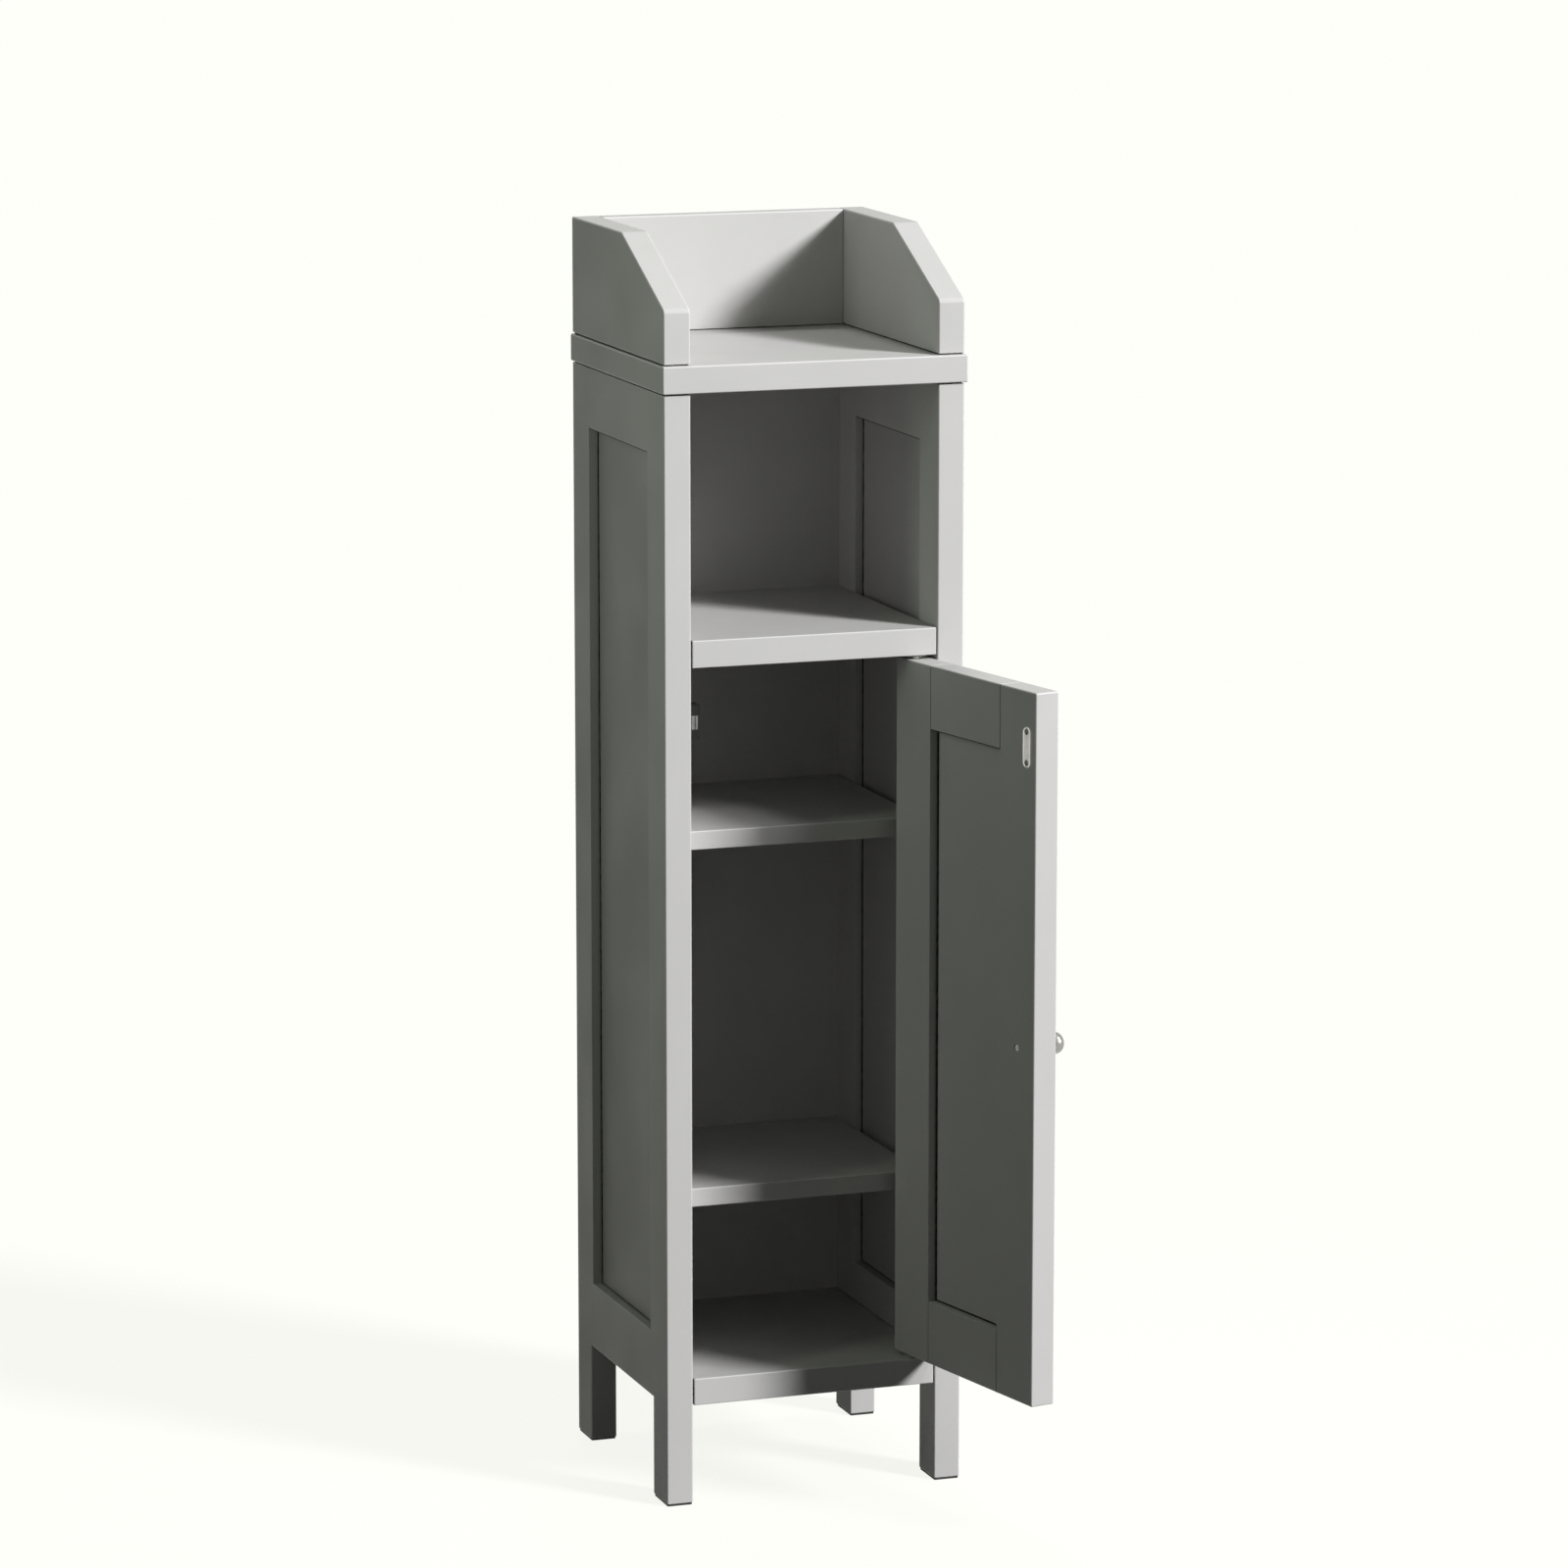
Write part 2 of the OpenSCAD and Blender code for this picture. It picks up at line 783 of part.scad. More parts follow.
module catch_body() {
    dark() in_cabinet() difference() {
        translate([-inner_x, catch_y + pole_proud, plate_z - catch_l / 2])
            board([catch_w, catch_d, catch_l], ry = [0, catch_front_r, catch_front_r, 0],
                rz = [0, catch_side_r, catch_side_r, 0]);
        catch_places() {
            catch_screw(snug / 2);
            translate([-inner_x + catch_foot, 0, 0]) bar_x(small_head_r + screw_access, catch_w);
        }
        translate([magnet_x - magnet_w / 2 - pole_t - snug, catch_y, plate_z - magnet_l / 2 - snug])
            cube([magnet_w + 2 * pole_t + 2 * snug, pole_proud + magnet_d + snug, magnet_l + 2 * snug]);
    }
}

module catch_magnet() {
    dark() in_cabinet()
        translate([magnet_x - magnet_w / 2, catch_y + pole_proud, plate_z - magnet_l / 2])
            cube([magnet_w, magnet_d, magnet_l]);
}

module catch_poles() {
    steel() in_cabinet() {
        for (x = [-magnet_w / 2 - pole_t, magnet_w / 2]) {
            translate([magnet_x + x, catch_y, plate_z - magnet_l / 2])
                cube([pole_t, magnet_d + pole_proud, magnet_l]);
        }
    }
}

module catch_screws() {
    steel() in_cabinet() catch_places() catch_screw();
}

// Door, drawn closed
module door_groove() {
    h = door_h - 2 * (door_rail_h - groove_d);
    translate([-door_x + door_stile_w - groove_d, (door_t - door_panel_t) / 2 - snug,
        door_z + door_rail_h - groove_d])
        cube([door_rail_l + 2 * groove_d, door_panel_t + 2 * snug, h]);
}

function door_dowel_z() = [
    door_z + door_dowel_offset, door_z + 2 * door_dowel_offset,
    door_z + door_h - 2 * door_dowel_offset, door_z + door_h - door_dowel_offset
];

module door_dowel_places() {
    for (x = [-door_rail_l / 2, door_rail_l / 2]) {
        for (z = door_dowel_z()) {
            translate([x, door_t / 2, z]) children();
        }
    }
}

module door_dowel_holes() {
    door_dowel_places() translate([-dowel_hole, 0, 0]) bar_x(dowel_r + snug, 2 * dowel_hole);
}

module door_hinge_stile() {
    outer = [edge_r, edge_r, edge_r, edge_r];
    grey_paint() on_door() difference() {
        translate([door_x - door_stile_w, 0, door_z])
            board([door_stile_w, door_t, door_h], rx = outer, ry = [joint_r, edge_r, edge_r, joint_r],
                rz = [joint_r, hinge_edge_r, edge_r, joint_r]);
        door_groove();
        door_dowel_holes();
        translate([pivot_x, pivot_y, door_z - over])
            cylinder(r = pin_r + snug / 2, h = pin_in_door + over + snug);
        translate([pivot_x, pivot_y, door_z + door_h - pin_in_door - snug])
            cylinder(r = pin_r + snug / 2, h = pin_in_door + over + snug);
    }
}

module door_free_stile() {
    outer = [edge_r, edge_r, edge_r, edge_r];
    grey_paint() on_door() difference() {
        translate([-door_x, 0, door_z])
            board([door_stile_w, door_t, door_h], rx = outer, ry = [edge_r, joint_r, joint_r, edge_r],
                rz = [edge_r, joint_r, joint_r, edge_r]);
        door_groove();
        door_dowel_holes();
        translate([knob_x, -over, knob_z]) bar_y(knob_screw_r + snug, door_t + 2 * over);
        translate([knob_x, door_t - screw_sink, knob_z])
            bar_y(screw_head_r + screw_head_room, screw_sink + over);
        plate_screw_places() plate_screw(snug / 2);
    }
}

module door_top_rail() {
    grey_paint() on_door() difference() {
        translate([-door_rail_l / 2, 0, door_z + door_h - door_rail_h])
            board([door_rail_l, door_t, door_rail_h], rx = [joint_r, joint_r, edge_r, edge_r],
                rz = [for (i = [0:3]) joint_r]);
        door_groove();
        door_dowel_holes();
    }
}

module door_bottom_rail() {
    grey_paint() on_door() difference() {
        translate([-door_rail_l / 2, 0, door_z])
            board([door_rail_l, door_t, door_rail_h], rx = [edge_r, edge_r, joint_r, joint_r],
                rz = [for (i = [0:3]) joint_r]);
        door_groove();
        door_dowel_holes();
    }
}

module door_panel() {
    h = door_h - 2 * (door_rail_h - tongue_d);
    grey_paint() on_door()
        translate([-door_rail_l / 2 - tongue_d, (door_t - door_panel_t) / 2,
            door_z + door_rail_h - tongue_d])
            cube([door_rail_l + 2 * tongue_d, door_panel_t, h]);
}

module door_dowels() {
    wood() on_door() door_dowel_places() translate([-dowel_l / 2, 0, 0]) bar_x(dowel_r, dowel_l);
}

// Pivot pins: fixed in the door, turning in the bushes
module lower_pivot_pin() {
    collar_t = door_end_gap - flange_t - collar_gap;
    steel() on_door() translate([pivot_x, pivot_y, door_z]) {
        translate([0, 0, -door_end_gap - pin_in_board + pin_end_gap])
            cylinder(r = pin_r, h = pin_in_board - pin_end_gap + door_end_gap + pin_in_door);
        translate([0, 0, -collar_t]) cylinder(r = collar_r, h = collar_t);
    }
}

module upper_pivot_pin() {
    steel() on_door() translate([pivot_x, pivot_y, door_z + door_h - pin_in_door])
        cylinder(r = pin_r, h = pin_in_door + door_end_gap + pin_in_board - pin_end_gap);
}

// Round knob, turned about its own axis and set on the door's outer face
module knob() {
    head_z = knob_reach - knob_head_h;
    head_r = knob_d / 2;
    start = -acos(knob_neck_r / head_r);
    steel() on_door() translate([knob_x, 0, knob_z]) rotate([90, 0, 0]) difference() {
        rotate_extrude($fn = 64) polygon(concat(
            [[0, 0], [knob_base_r - knob_base_edge, 0], [knob_base_r, knob_base_edge],
                [knob_base_r, knob_base_t]],
            [for (i = [1:6])
                [knob_neck_r + (knob_base_r - knob_neck_r) * (1 - sin(15 * i)),
                    knob_base_t + knob_cove_h * (1 - cos(15 * i))]],
            [for (i = [0:16]) let (a = start + (90 - start) * i / 16)
                [head_r * cos(a), head_z + knob_head_h * sin(a)]]
        ));
        translate([0, 0, -over]) cylinder(r = knob_screw_r + snug / 2, h = knob_screw_in + over + snug);
    }
}

module knob_screw() {
    steel() on_door() translate([knob_x, door_t - screw_sink, knob_z]) difference() {
        union() {
            bar_y(screw_head_r, screw_head_t);
            translate([0, -(door_t - screw_sink) - knob_screw_in, 0])
                bar_y(knob_screw_r, door_t - screw_sink + knob_screw_in);
        }
        for (a = [0, 90]) {
            rotate([0, a, 0])
                translate([-screw_slot_l / 2, screw_head_t - screw_slot_d, -screw_slot_w / 2])
                    cube([screw_slot_l, screw_slot_d + over, screw_slot_w]);
        }
    }
}

module plate_screw_places() {
    for (s = [-1, 1]) {
        translate([plate_x, door_t + plate_t, plate_z + s * plate_screw_spacing / 2]) children();
    }
}

module plate_screw(grow = 0) {
    rotate([90, 0, 0]) small_screw(plate_screw_l, grow);
}

module strike_plate() {
    steel() on_door() difference() {
        translate([plate_x, door_t + plate_t, plate_z]) rotate([90, 0, 0]) linear_extrude(plate_t) {
            square([plate_w, plate_l - plate_w], center = true);
            for (s = [-1, 1]) {
                translate([0, s * (plate_l - plate_w) / 2]) circle(plate_w / 2);
            }
        }
        plate_screw_places() plate_screw(snug / 2);
    }
}

module strike_screws() {
    steel() on_door() plate_screw_places() plate_screw();
}

front_stile(-1);  // left_front_stile
rear_stile(-1);  // left_rear_stile
top_rail(-1);  // left_top_rail
bottom_rail(-1);  // left_bottom_rail
side_panel(-1);  // left_side_panel
front_stile(1);  // right_front_stile
rear_stile(1);  // right_rear_stile
top_rail(1);  // right_top_rail
bottom_rail(1);  // right_bottom_rail
side_panel(1);  // right_side_panel
top_board();
fixed_shelf();
bottom_board();
inner_shelf(upper_shelf_z);  // upper_shelf
inner_shelf(lower_shelf_z);  // lower_shelf
back_panel();
gallery_side(-1);  // gallery_left
gallery_side(1);  // gallery_right
gallery_back();
foot_pads();
shelf_pins();
frame_dowels();
gallery_dowels();
board_bolts();
cam_locks();
top_screws();
gallery_screws();
back_screws();
lower_bush();
upper_bush();
catch_body();
catch_magnet();
catch_poles();
catch_screws();
door_hinge_stile();
door_free_stile();
door_top_rail();
door_bottom_rail();
door_panel();
door_dowels();
lower_pivot_pin();
upper_pivot_pin();
knob();
knob_screw();
strike_plate();
strike_screws();
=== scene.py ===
import json
import math

import bmesh
import bpy
from mathutils import Matrix, Vector


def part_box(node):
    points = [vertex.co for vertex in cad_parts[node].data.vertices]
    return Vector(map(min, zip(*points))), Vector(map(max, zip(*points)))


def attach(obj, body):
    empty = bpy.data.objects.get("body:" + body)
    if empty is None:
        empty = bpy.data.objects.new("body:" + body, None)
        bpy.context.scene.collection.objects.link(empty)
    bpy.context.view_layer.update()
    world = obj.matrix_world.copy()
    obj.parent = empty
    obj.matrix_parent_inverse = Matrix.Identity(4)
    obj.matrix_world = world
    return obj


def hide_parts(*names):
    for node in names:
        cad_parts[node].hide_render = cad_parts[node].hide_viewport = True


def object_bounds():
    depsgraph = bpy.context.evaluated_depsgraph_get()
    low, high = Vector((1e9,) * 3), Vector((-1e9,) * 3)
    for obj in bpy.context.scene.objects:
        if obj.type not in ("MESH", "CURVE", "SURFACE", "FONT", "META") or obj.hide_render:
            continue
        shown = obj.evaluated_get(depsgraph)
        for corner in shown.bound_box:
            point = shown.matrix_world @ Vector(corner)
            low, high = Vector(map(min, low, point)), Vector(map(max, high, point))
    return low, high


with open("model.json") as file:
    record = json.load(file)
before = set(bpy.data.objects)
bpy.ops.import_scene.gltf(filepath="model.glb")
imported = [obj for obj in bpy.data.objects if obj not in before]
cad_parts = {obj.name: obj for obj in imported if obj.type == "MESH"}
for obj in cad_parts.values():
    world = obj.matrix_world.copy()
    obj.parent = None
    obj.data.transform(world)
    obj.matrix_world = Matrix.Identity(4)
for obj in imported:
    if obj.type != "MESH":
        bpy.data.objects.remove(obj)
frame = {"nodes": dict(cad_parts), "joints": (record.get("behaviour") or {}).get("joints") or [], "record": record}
cadLow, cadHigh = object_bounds()

mm = 0.001
nodes = frame["nodes"]
doorNodes = frame["record"]["behaviour"]["bodies"]["door"]
hinge = frame["joints"][0]
pivot = Vector(hinge["pos_m"])
openAngle = math.radians(-hinge["range_deg"][0])  # how far the door stands from shut
doorTurn = Matrix.Translation(pivot) @ Matrix.Rotation(openAngle, 4, "Z") @ Matrix.Translation(-pivot)


# Shader building blocks

def newMaterial(name):
    material = bpy.data.materials.new(name)
    material.use_nodes = True
    tree = material.node_tree
    tree.nodes.clear()
    output = tree.nodes.new("ShaderNodeOutputMaterial")
    surface = tree.nodes.new("ShaderNodeBsdfPrincipled")
    tree.links.new(surface.outputs[0], output.inputs["Surface"])
    return material, tree, surface


def objectPlace(tree, stretch=(1, 1, 1)):
    place = tree.nodes.new("ShaderNodeTexCoord")
    mapping = tree.nodes.new("ShaderNodeMapping")
    mapping.inputs["Scale"].default_value = stretch
    tree.links.new(place.outputs["Object"], mapping.inputs["Vector"])
    return mapping.outputs["Vector"]


def noise(tree, place, size, detail=3, roughness=0.55):
    texture = tree.nodes.new("ShaderNodeTexNoise")
    texture.inputs["Scale"].default_value = 1 / size
    texture.inputs["Detail"].default_value = detail
    texture.inputs["Roughness"].default_value = roughness
    tree.links.new(place, texture.inputs["Vector"])
    return texture.outputs["Fac"]


def ramp(tree, value, low, high, toLow, toHigh):
    spread = tree.nodes.new("ShaderNodeMapRange")
    for socket, number in zip(("From Min", "From Max", "To Min", "To Max"), (low, high, toLow, toHigh)):
        spread.inputs[socket].default_value = number
    tree.links.new(value, spread.inputs["Value"])
    return spread.outputs["Result"]


def blend(tree, factor, colorA, colorB):
    mix = tree.nodes.new("ShaderNodeMix")
    mix.data_type = "RGBA"
    tree.links.new(factor, mix.inputs[0])
    for socket, color in ((mix.inputs[6], colorA), (mix.inputs[7], colorB)):
        if isinstance(color, tuple):
            socket.default_value = (*color, 1)
        else:
            tree.links.new(color, socket)
    return mix.outputs[2]


def layered(tree, *heights):
    total = heights[0]
    for height in heights[1:]:
        add = tree.nodes.new("ShaderNodeMath")
        add.operation = "ADD"
        tree.links.new(total, add.inputs[0])
        tree.links.new(height, add.inputs[1])
        total = add.outputs[0]
    return total


def bump(tree, surface, height, depth):
    relief = tree.nodes.new("ShaderNodeBump")
    relief.inputs["Strength"].default_value = 1.0
    relief.inputs["Distance"].default_value = depth
    tree.links.new(height, relief.inputs["Height"])
    tree.links.new(relief.outputs["Normal"], surface.inputs["Normal"])


# Satin paint on board: faint clouds in the tone, sprayed skin, fine dust under the finish

paintLook = {
    "satinPaint": {"color": (0.492, 0.489, 0.478), "shade": (0.470, 0.468, 0.455), "roughness": (0.46, 0.56),
                   "specular": 0.12},
    # A darker paint for the side panels: painted shade for their recess in the frame
    "recessPaint": {"color": (0.443, 0.440, 0.430), "shade": (0.423, 0.421, 0.410), "roughness": (0.48, 0.58),
                    "specular": 0.12},
    # Lighter, glossier paint for the arrises: partly wear, partly a painted highlight along the edges
    "rubbedArris": {"color": (0.535, 0.531, 0.520), "shade": (0.500, 0.497, 0.486), "roughness": (0.38, 0.48),
                    "specular": 0.30},
    # Near-black paint for the joints, grooves and shadow chamfers: painted shade
    "darkSeam": {"color": (0.036, 0.036, 0.034), "shade": (0.027, 0.027, 0.026), "roughness": (0.80, 0.90),
                 "specular": 0.05},
}
paintGrain = {
    "cloudSize": 90 * mm,
    "cloudRange": (0.3, 0.7),
    "skinSize": 2.2 * mm,
    "skinRoughness": 0.4,
    "skinDepth": 0.011 * mm,
    "dustSize": 0.35 * mm,
    "dustRange": (0.6, 0.8),
    "dustShare": 0.12,
    "dustRelief": 0.12,
}


def satinPaint(name):
    look = paintLook[name]
    material, tree, surface = newMaterial(name)
    place = objectPlace(tree)
    clouds = noise(tree, place, paintGrain["cloudSize"], detail=4)
    skin = noise(tree, place, paintGrain["skinSize"], detail=2, roughness=paintGrain["skinRoughness"])
    dust = noise(tree, place, paintGrain["dustSize"], detail=1)
    tone = blend(tree, ramp(tree, clouds, *paintGrain["cloudRange"], 0, 1), look["color"], look["shade"])
    dusty = ramp(tree, dust, *paintGrain["dustRange"], 0, paintGrain["dustShare"])
    tree.links.new(blend(tree, dusty, tone, look["shade"]), surface.inputs["Base Color"])
    tree.links.new(ramp(tree, clouds, *paintGrain["cloudRange"], *look["roughness"]),
                   surface.inputs["Roughness"])
    surface.inputs["Specular IOR Level"].default_value = look["specular"]
    relief = layered(tree, skin, ramp(tree, dust, 0, 1, 0, paintGrain["dustRelief"]))
    bump(tree, surface, relief, paintGrain["skinDepth"])
    return material


# Metals: fine brushing along the piece and broad patches in the tone

metalLook = {
    "nickel": {"color": (0.40, 0.395, 0.38), "shade": (0.34, 0.335, 0.32), "roughness": (0.20, 0.28)},
    "zinc": {"color": (0.80, 0.79, 0.75), "shade": (0.69, 0.68, 0.65), "roughness": (0.30, 0.42)},
    "magnet": {"color": (0.17, 0.17, 0.18), "shade": (0.11, 0.11, 0.12), "roughness": (0.42, 0.58)},
    "poleSteel": {"color": (0.20, 0.20, 0.20), "shade": (0.15, 0.15, 0.15), "roughness": (0.40, 0.52)},
}
metalGrain = {
    "stretch": (1, 1, 9),
    "brushSize": 4 * mm,
    "brushRange": (0.3, 0.7),
    "brushDepth": 0.008 * mm,
    "patchSize": 6 * mm,
    "patchRange": (0.35, 0.65),
}


def metal(name):
    look = metalLook[name]
    material, tree, surface = newMaterial(name)
    brushed = noise(tree, objectPlace(tree, metalGrain["stretch"]), metalGrain["brushSize"])
    patches = noise(tree, objectPlace(tree), metalGrain["patchSize"])
    tone = blend(tree, ramp(tree, patches, *metalGrain["patchRange"], 0, 1), look["color"], look["shade"])
    tree.links.new(tone, surface.inputs["Base Color"])
    tree.links.new(ramp(tree, brushed, *metalGrain["brushRange"], *look["roughness"]),
                   surface.inputs["Roughness"])
    surface.inputs["Metallic"].default_value = 1.0
    bump(tree, surface, brushed, metalGrain["brushDepth"])
    return material


# Bare beech, for the dowels

beechLook = {
    "color": (0.58, 0.40, 0.24),
    "dark": (0.46, 0.29, 0.16),
    "stretch": (1, 0.12, 1),
    "ringSize": 1.6 * mm,
    "ringRange": (0.35, 0.7),
    "ringDepth": 0.05 * mm,
    "roughness": 0.7,
}


def bareBeech():
    material, tree, surface = newMaterial("bareBeech")
    rings = noise(tree, objectPlace(tree, beechLook["stretch"]), beechLook["ringSize"], detail=5)
    tone = blend(tree, ramp(tree, rings, *beechLook["ringRange"], 0, 1), beechLook["color"],
                 beechLook["dark"])
    tree.links.new(tone, surface.inputs["Base Color"])
    surface.inputs["Roughness"].default_value = beechLook["roughness"]
    bump(tree, surface, rings, beechLook["ringDepth"])
    return material


# Moulded plastics and rubber

mouldedLook = {
    "nylon": {"color": (0.34, 0.34, 0.33), "shade": (0.29, 0.29, 0.28), "roughness": 0.50,
              "grain": 0.6 * mm, "specular": 0.5},
    "darkPlastic": {"color": (0.014, 0.014, 0.014), "shade": (0.010, 0.010, 0.010), "roughness": 0.42,
                    "grain": 0.7 * mm, "specular": 0.15},
    "rubber": {"color": (0.016, 0.016, 0.017), "shade": (0.026, 0.026, 0.026), "roughness": 0.85,
               "grain": 0.4 * mm, "specular": 0.5},
}
mouldedGrain = {
    "patchSize": 10 * mm,
    "patchRange": (0.35, 0.65),
    "depth": 0.02 * mm,
}


def moulded(name):
    look = mouldedLook[name]
    material, tree, surface = newMaterial(name)
    place = objectPlace(tree)
    patches = ramp(tree, noise(tree, place, mouldedGrain["patchSize"]), *mouldedGrain["patchRange"], 0, 1)
    tree.links.new(blend(tree, patches, look["color"], look["shade"]), surface.inputs["Base Color"])
    surface.inputs["Roughness"].default_value = look["roughness"]
    surface.inputs["Specular IOR Level"].default_value = look["specular"]
    bump(tree, surface, noise(tree, place, look["grain"], detail=2), mouldedGrain["depth"])
    return material


# Which finish goes on which piece. A painted piece has two more: on its arrises a lighter, glossier paint that is
# partly wear and partly a painted highlight, and deep in its joints a near-black paint that is painted shade

edgeFinishes = [satinPaint("rubbedArris"), satinPaint("darkSeam")]
arrisSlot, paintedShadeSlot = 1, 2
finish = {
    "grey_paint": satinPaint("satinPaint"),
    "satin_nickel": metal("nickel"),
    "zinc_steel": metal("zinc"),
    "dark_steel": metal("magnet"),
    "beech_wood": bareBeech(),
    "white_nylon": moulded("nylon"),
    "dark_plastic": moulded("darkPlastic"),
    "dark_rubber": moulded("rubber"),
}
# The side panels take the darker paint: painted shade in their recess
recessPaint = satinPaint("recessPaint")
greySteel = metal("poleSteel")
ownFinish = {  # pieces that differ from the rest of their slot
    "left_side_panel": recessPaint,
    "right_side_panel": recessPaint,
    "catch_poles": greySteel,
    "strike_plate": finish["zinc_steel"],
    "strike_screws": greySteel,
}
for node, part in nodes.items():
    slotName = next(s["material_slot"] for s in frame["record"]["subparts"] if s["node"] == node)
    for index in range(len(part.data.materials)):
        part.data.materials[index] = ownFinish.get(node, finish[slotName])
print("materials made")


# Modelling helpers. A door piece is drawn with the door shut and then turned with it

modelling = {
    "weld": 1e-7,
    "looseWeld": 1e-6,
    "facing": 0.99,  # how far a normal has to point to a side
    "wallTilt": 0.1,  # how far the normal of an upright wall may lean
    "slack": 1.01,
    "sharpAngle": math.radians(35),
    "arrisAngle": math.radians(20),
    "arrisSegments": 4,
    "closedArea": 1e-11,
    "holeFrame": 1.7,  # half the square that is cut round a hole, in radii
    "holeSteps": 32,
}


def boxOf(points):
    points = list(points)
    return (Vector(min(p[i] for p in points) for i in range(3)),
            Vector(max(p[i] for p in points) for i in range(3)))


def nodePoints(node):
    turn = doorTurn.inverted() if node in doorNodes else Matrix()
    return [turn @ vert.co for vert in nodes[node].data.vertices]


def nodeBox(node):
    return boxOf(nodePoints(node))


def looseBoxes(node):  # one box for each separate solid in a node
    bm = bmesh.new()
    bm.from_mesh(nodes[node].data)
    if node in doorNodes:
        bmesh.ops.transform(bm, matrix=doorTurn.inverted(), verts=bm.verts)
    bmesh.ops.remove_doubles(bm, verts=bm.verts, dist=modelling["looseWeld"])
    waiting = set(bm.verts)
    boxes = []
    while waiting:
        fresh = [waiting.pop()]
        solid = []
        while fresh:
            vert = fresh.pop()
            solid.append(vert.co)
            near = {edge.other_vert(vert) for edge in vert.link_edges} & waiting
            waiting -= near
            fresh += near
        boxes.append(boxOf(solid))
    bm.free()
    return boxes


def meshObject(name, bm):
    mesh = bpy.data.meshes.new(name)
    bm.to_mesh(mesh)
    bm.free()
    thing = bpy.data.objects.new(name, mesh)
    bpy.context.scene.collection.objects.link(thing)
    return thing


def addPiece(name, bm, body, slotName, replaced, arris=0):
    bmesh.ops.remove_doubles(bm, verts=bm.verts, dist=modelling["weld"])
    bmesh.ops.recalc_face_normals(bm, faces=bm.faces)
    if body == "door":
        bmesh.ops.transform(bm, matrix=doorTurn, verts=bm.verts)
    weights = bm.edges.layers.float.get("bevel_weight_edge")
    for face in bm.faces:
        face.smooth = True
    for edge in bm.edges:
        rounded = weights is not None and edge[weights] > 0
        edge.smooth = rounded or edge.calc_face_angle(0) < modelling["sharpAngle"]
    piece = meshObject(name, bm)
    own = [ownFinish[node] for node in replaced if node in ownFinish]
    piece.data.materials.append(own[0] if own else finish[slotName])
    if slotName == "grey_paint":
        for edgeFinish in edgeFinishes:
            piece.data.materials.append(edgeFinish)
    if arris:
        rounding = piece.modifiers.new("arris", "BEVEL")
        rounding.limit_method = "WEIGHT"
        rounding.width = arris
        rounding.segments = modelling["arrisSegments"]
        rounding.use_clamp_overlap = False
        # The rounded arrises take the lighter, glossier arris paint: partly wear, partly a painted highlight
        rounding.material = arrisSlot
    normals = piece.modifiers.new("evenNormals", "WEIGHTED_NORMAL")
    normals.keep_sharp = True
    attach(piece, body)
    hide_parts(*replaced)


sides = {"left": (0, -1), "right": (0, 1), "front": (1, -1), "back": (1, 1), "under": (2, -1), "top": (2, 1)}


def facesSide(face, side):
    axis, sign = sides[side]
    return face.normal[axis] * sign > modelling["facing"]


def sideVector(side, length):
    axis, sign = sides[side]
    return Vector(sign * length if i == axis else 0 for i in range(3))


def faceAt(bm, side, point):
    near = modelling["looseWeld"]
    bm.normal_update()
    for face in bm.faces:
        if facesSide(face, side):
            low, high = boxOf(vert.co for vert in face.verts)
            if all(low[i] - near < point[i] < high[i] + near for i in range(3)):
                return face


def bigFace(bm, side):
    bm.normal_update()
    return max((face for face in bm.faces if facesSide(face, side)), key=lambda face: face.calc_area())


def weightLayer(bm):
    return bm.edges.layers.float.get("bevel_weight_edge") or bm.edges.layers.float.new("bevel_weight_edge")


# widths pairs the sides that an edge touches with its radius, and the first pair that fits counts
def weighEdges(bm, widths, arris):
    layer = weightLayer(bm)
    bm.normal_update()
    for edge in bm.edges:
        if edge.calc_face_angle(0) > modelling["arrisAngle"]:
            for where, width in widths:
                if all(any(facesSide(face, side) for face in edge.link_faces) for side in where.split()):
                    edge[layer] = width / arris
                    break


def grown(result):
    return [item for item in result["geom"] if isinstance(item, bmesh.types.BMVert)]


def pushFaces(bm, faces, move):
    edges = list({edge for face in faces for edge in face.edges})
    result = bmesh.ops.extrude_face_region(bm, geom=list(faces) + edges)
    moved = grown(result)
    bmesh.ops.translate(bm, vec=move, verts=moved)
    return moved, [item for item in result["geom"] if isinstance(item, bmesh.types.BMFace)]


# A board drawn back from its neighbour all round, with the joint's ledge and walls painted near black as shade, so
# that the joint shows as a dark line.
# On the through sides the raised middle runs out to the end, where another board goes on.
def openJoint(bm, faces, gap, depth, through=()):
    layer = weightLayer(bm)
    bm.normal_update()
    out = faces[0].normal * gap
    bmesh.ops.translate(bm, vec=-out, verts=list({vert for face in faces for vert in face.verts}))
    ledge = bmesh.ops.inset_region(bm, faces=faces, thickness=depth, use_even_offset=True)["faces"]
    raised, _ = pushFaces(bm, faces, out)
    core = set(raised) | {edge.other_vert(vert) for vert in raised for edge in vert.link_edges}
    for vert in core:
        for edge in vert.link_edges:
            edge[layer] = 0
    tilt = modelling["wallTilt"] * gap
    wall = {face for vert in raised for face in vert.link_faces if abs(face.normal.dot(out)) < tilt}
    # The ledge and walls of the joint take the near-black finish: painted shade
    for face in set(ledge) | wall:
        face.material_index = paintedShadeSlot
    for side in through:
        axis, sign = sides[side]
        end = max(sign * vert.co[axis] for face in ledge for vert in face.verts)
        for vert in core:
            if sign * vert.co[axis] > end - modelling["slack"] * depth:
                vert.co[axis] = sign * end
    closed = [face for face in ledge if face.calc_area() < modelling["closedArea"]]
    for face in closed:
        face.material_index = 0
    seams = [edge for face in closed for edge in face.edges if not core & set(edge.verts)]
    bmesh.ops.dissolve_edges(bm, edges=seams, use_verts=False)


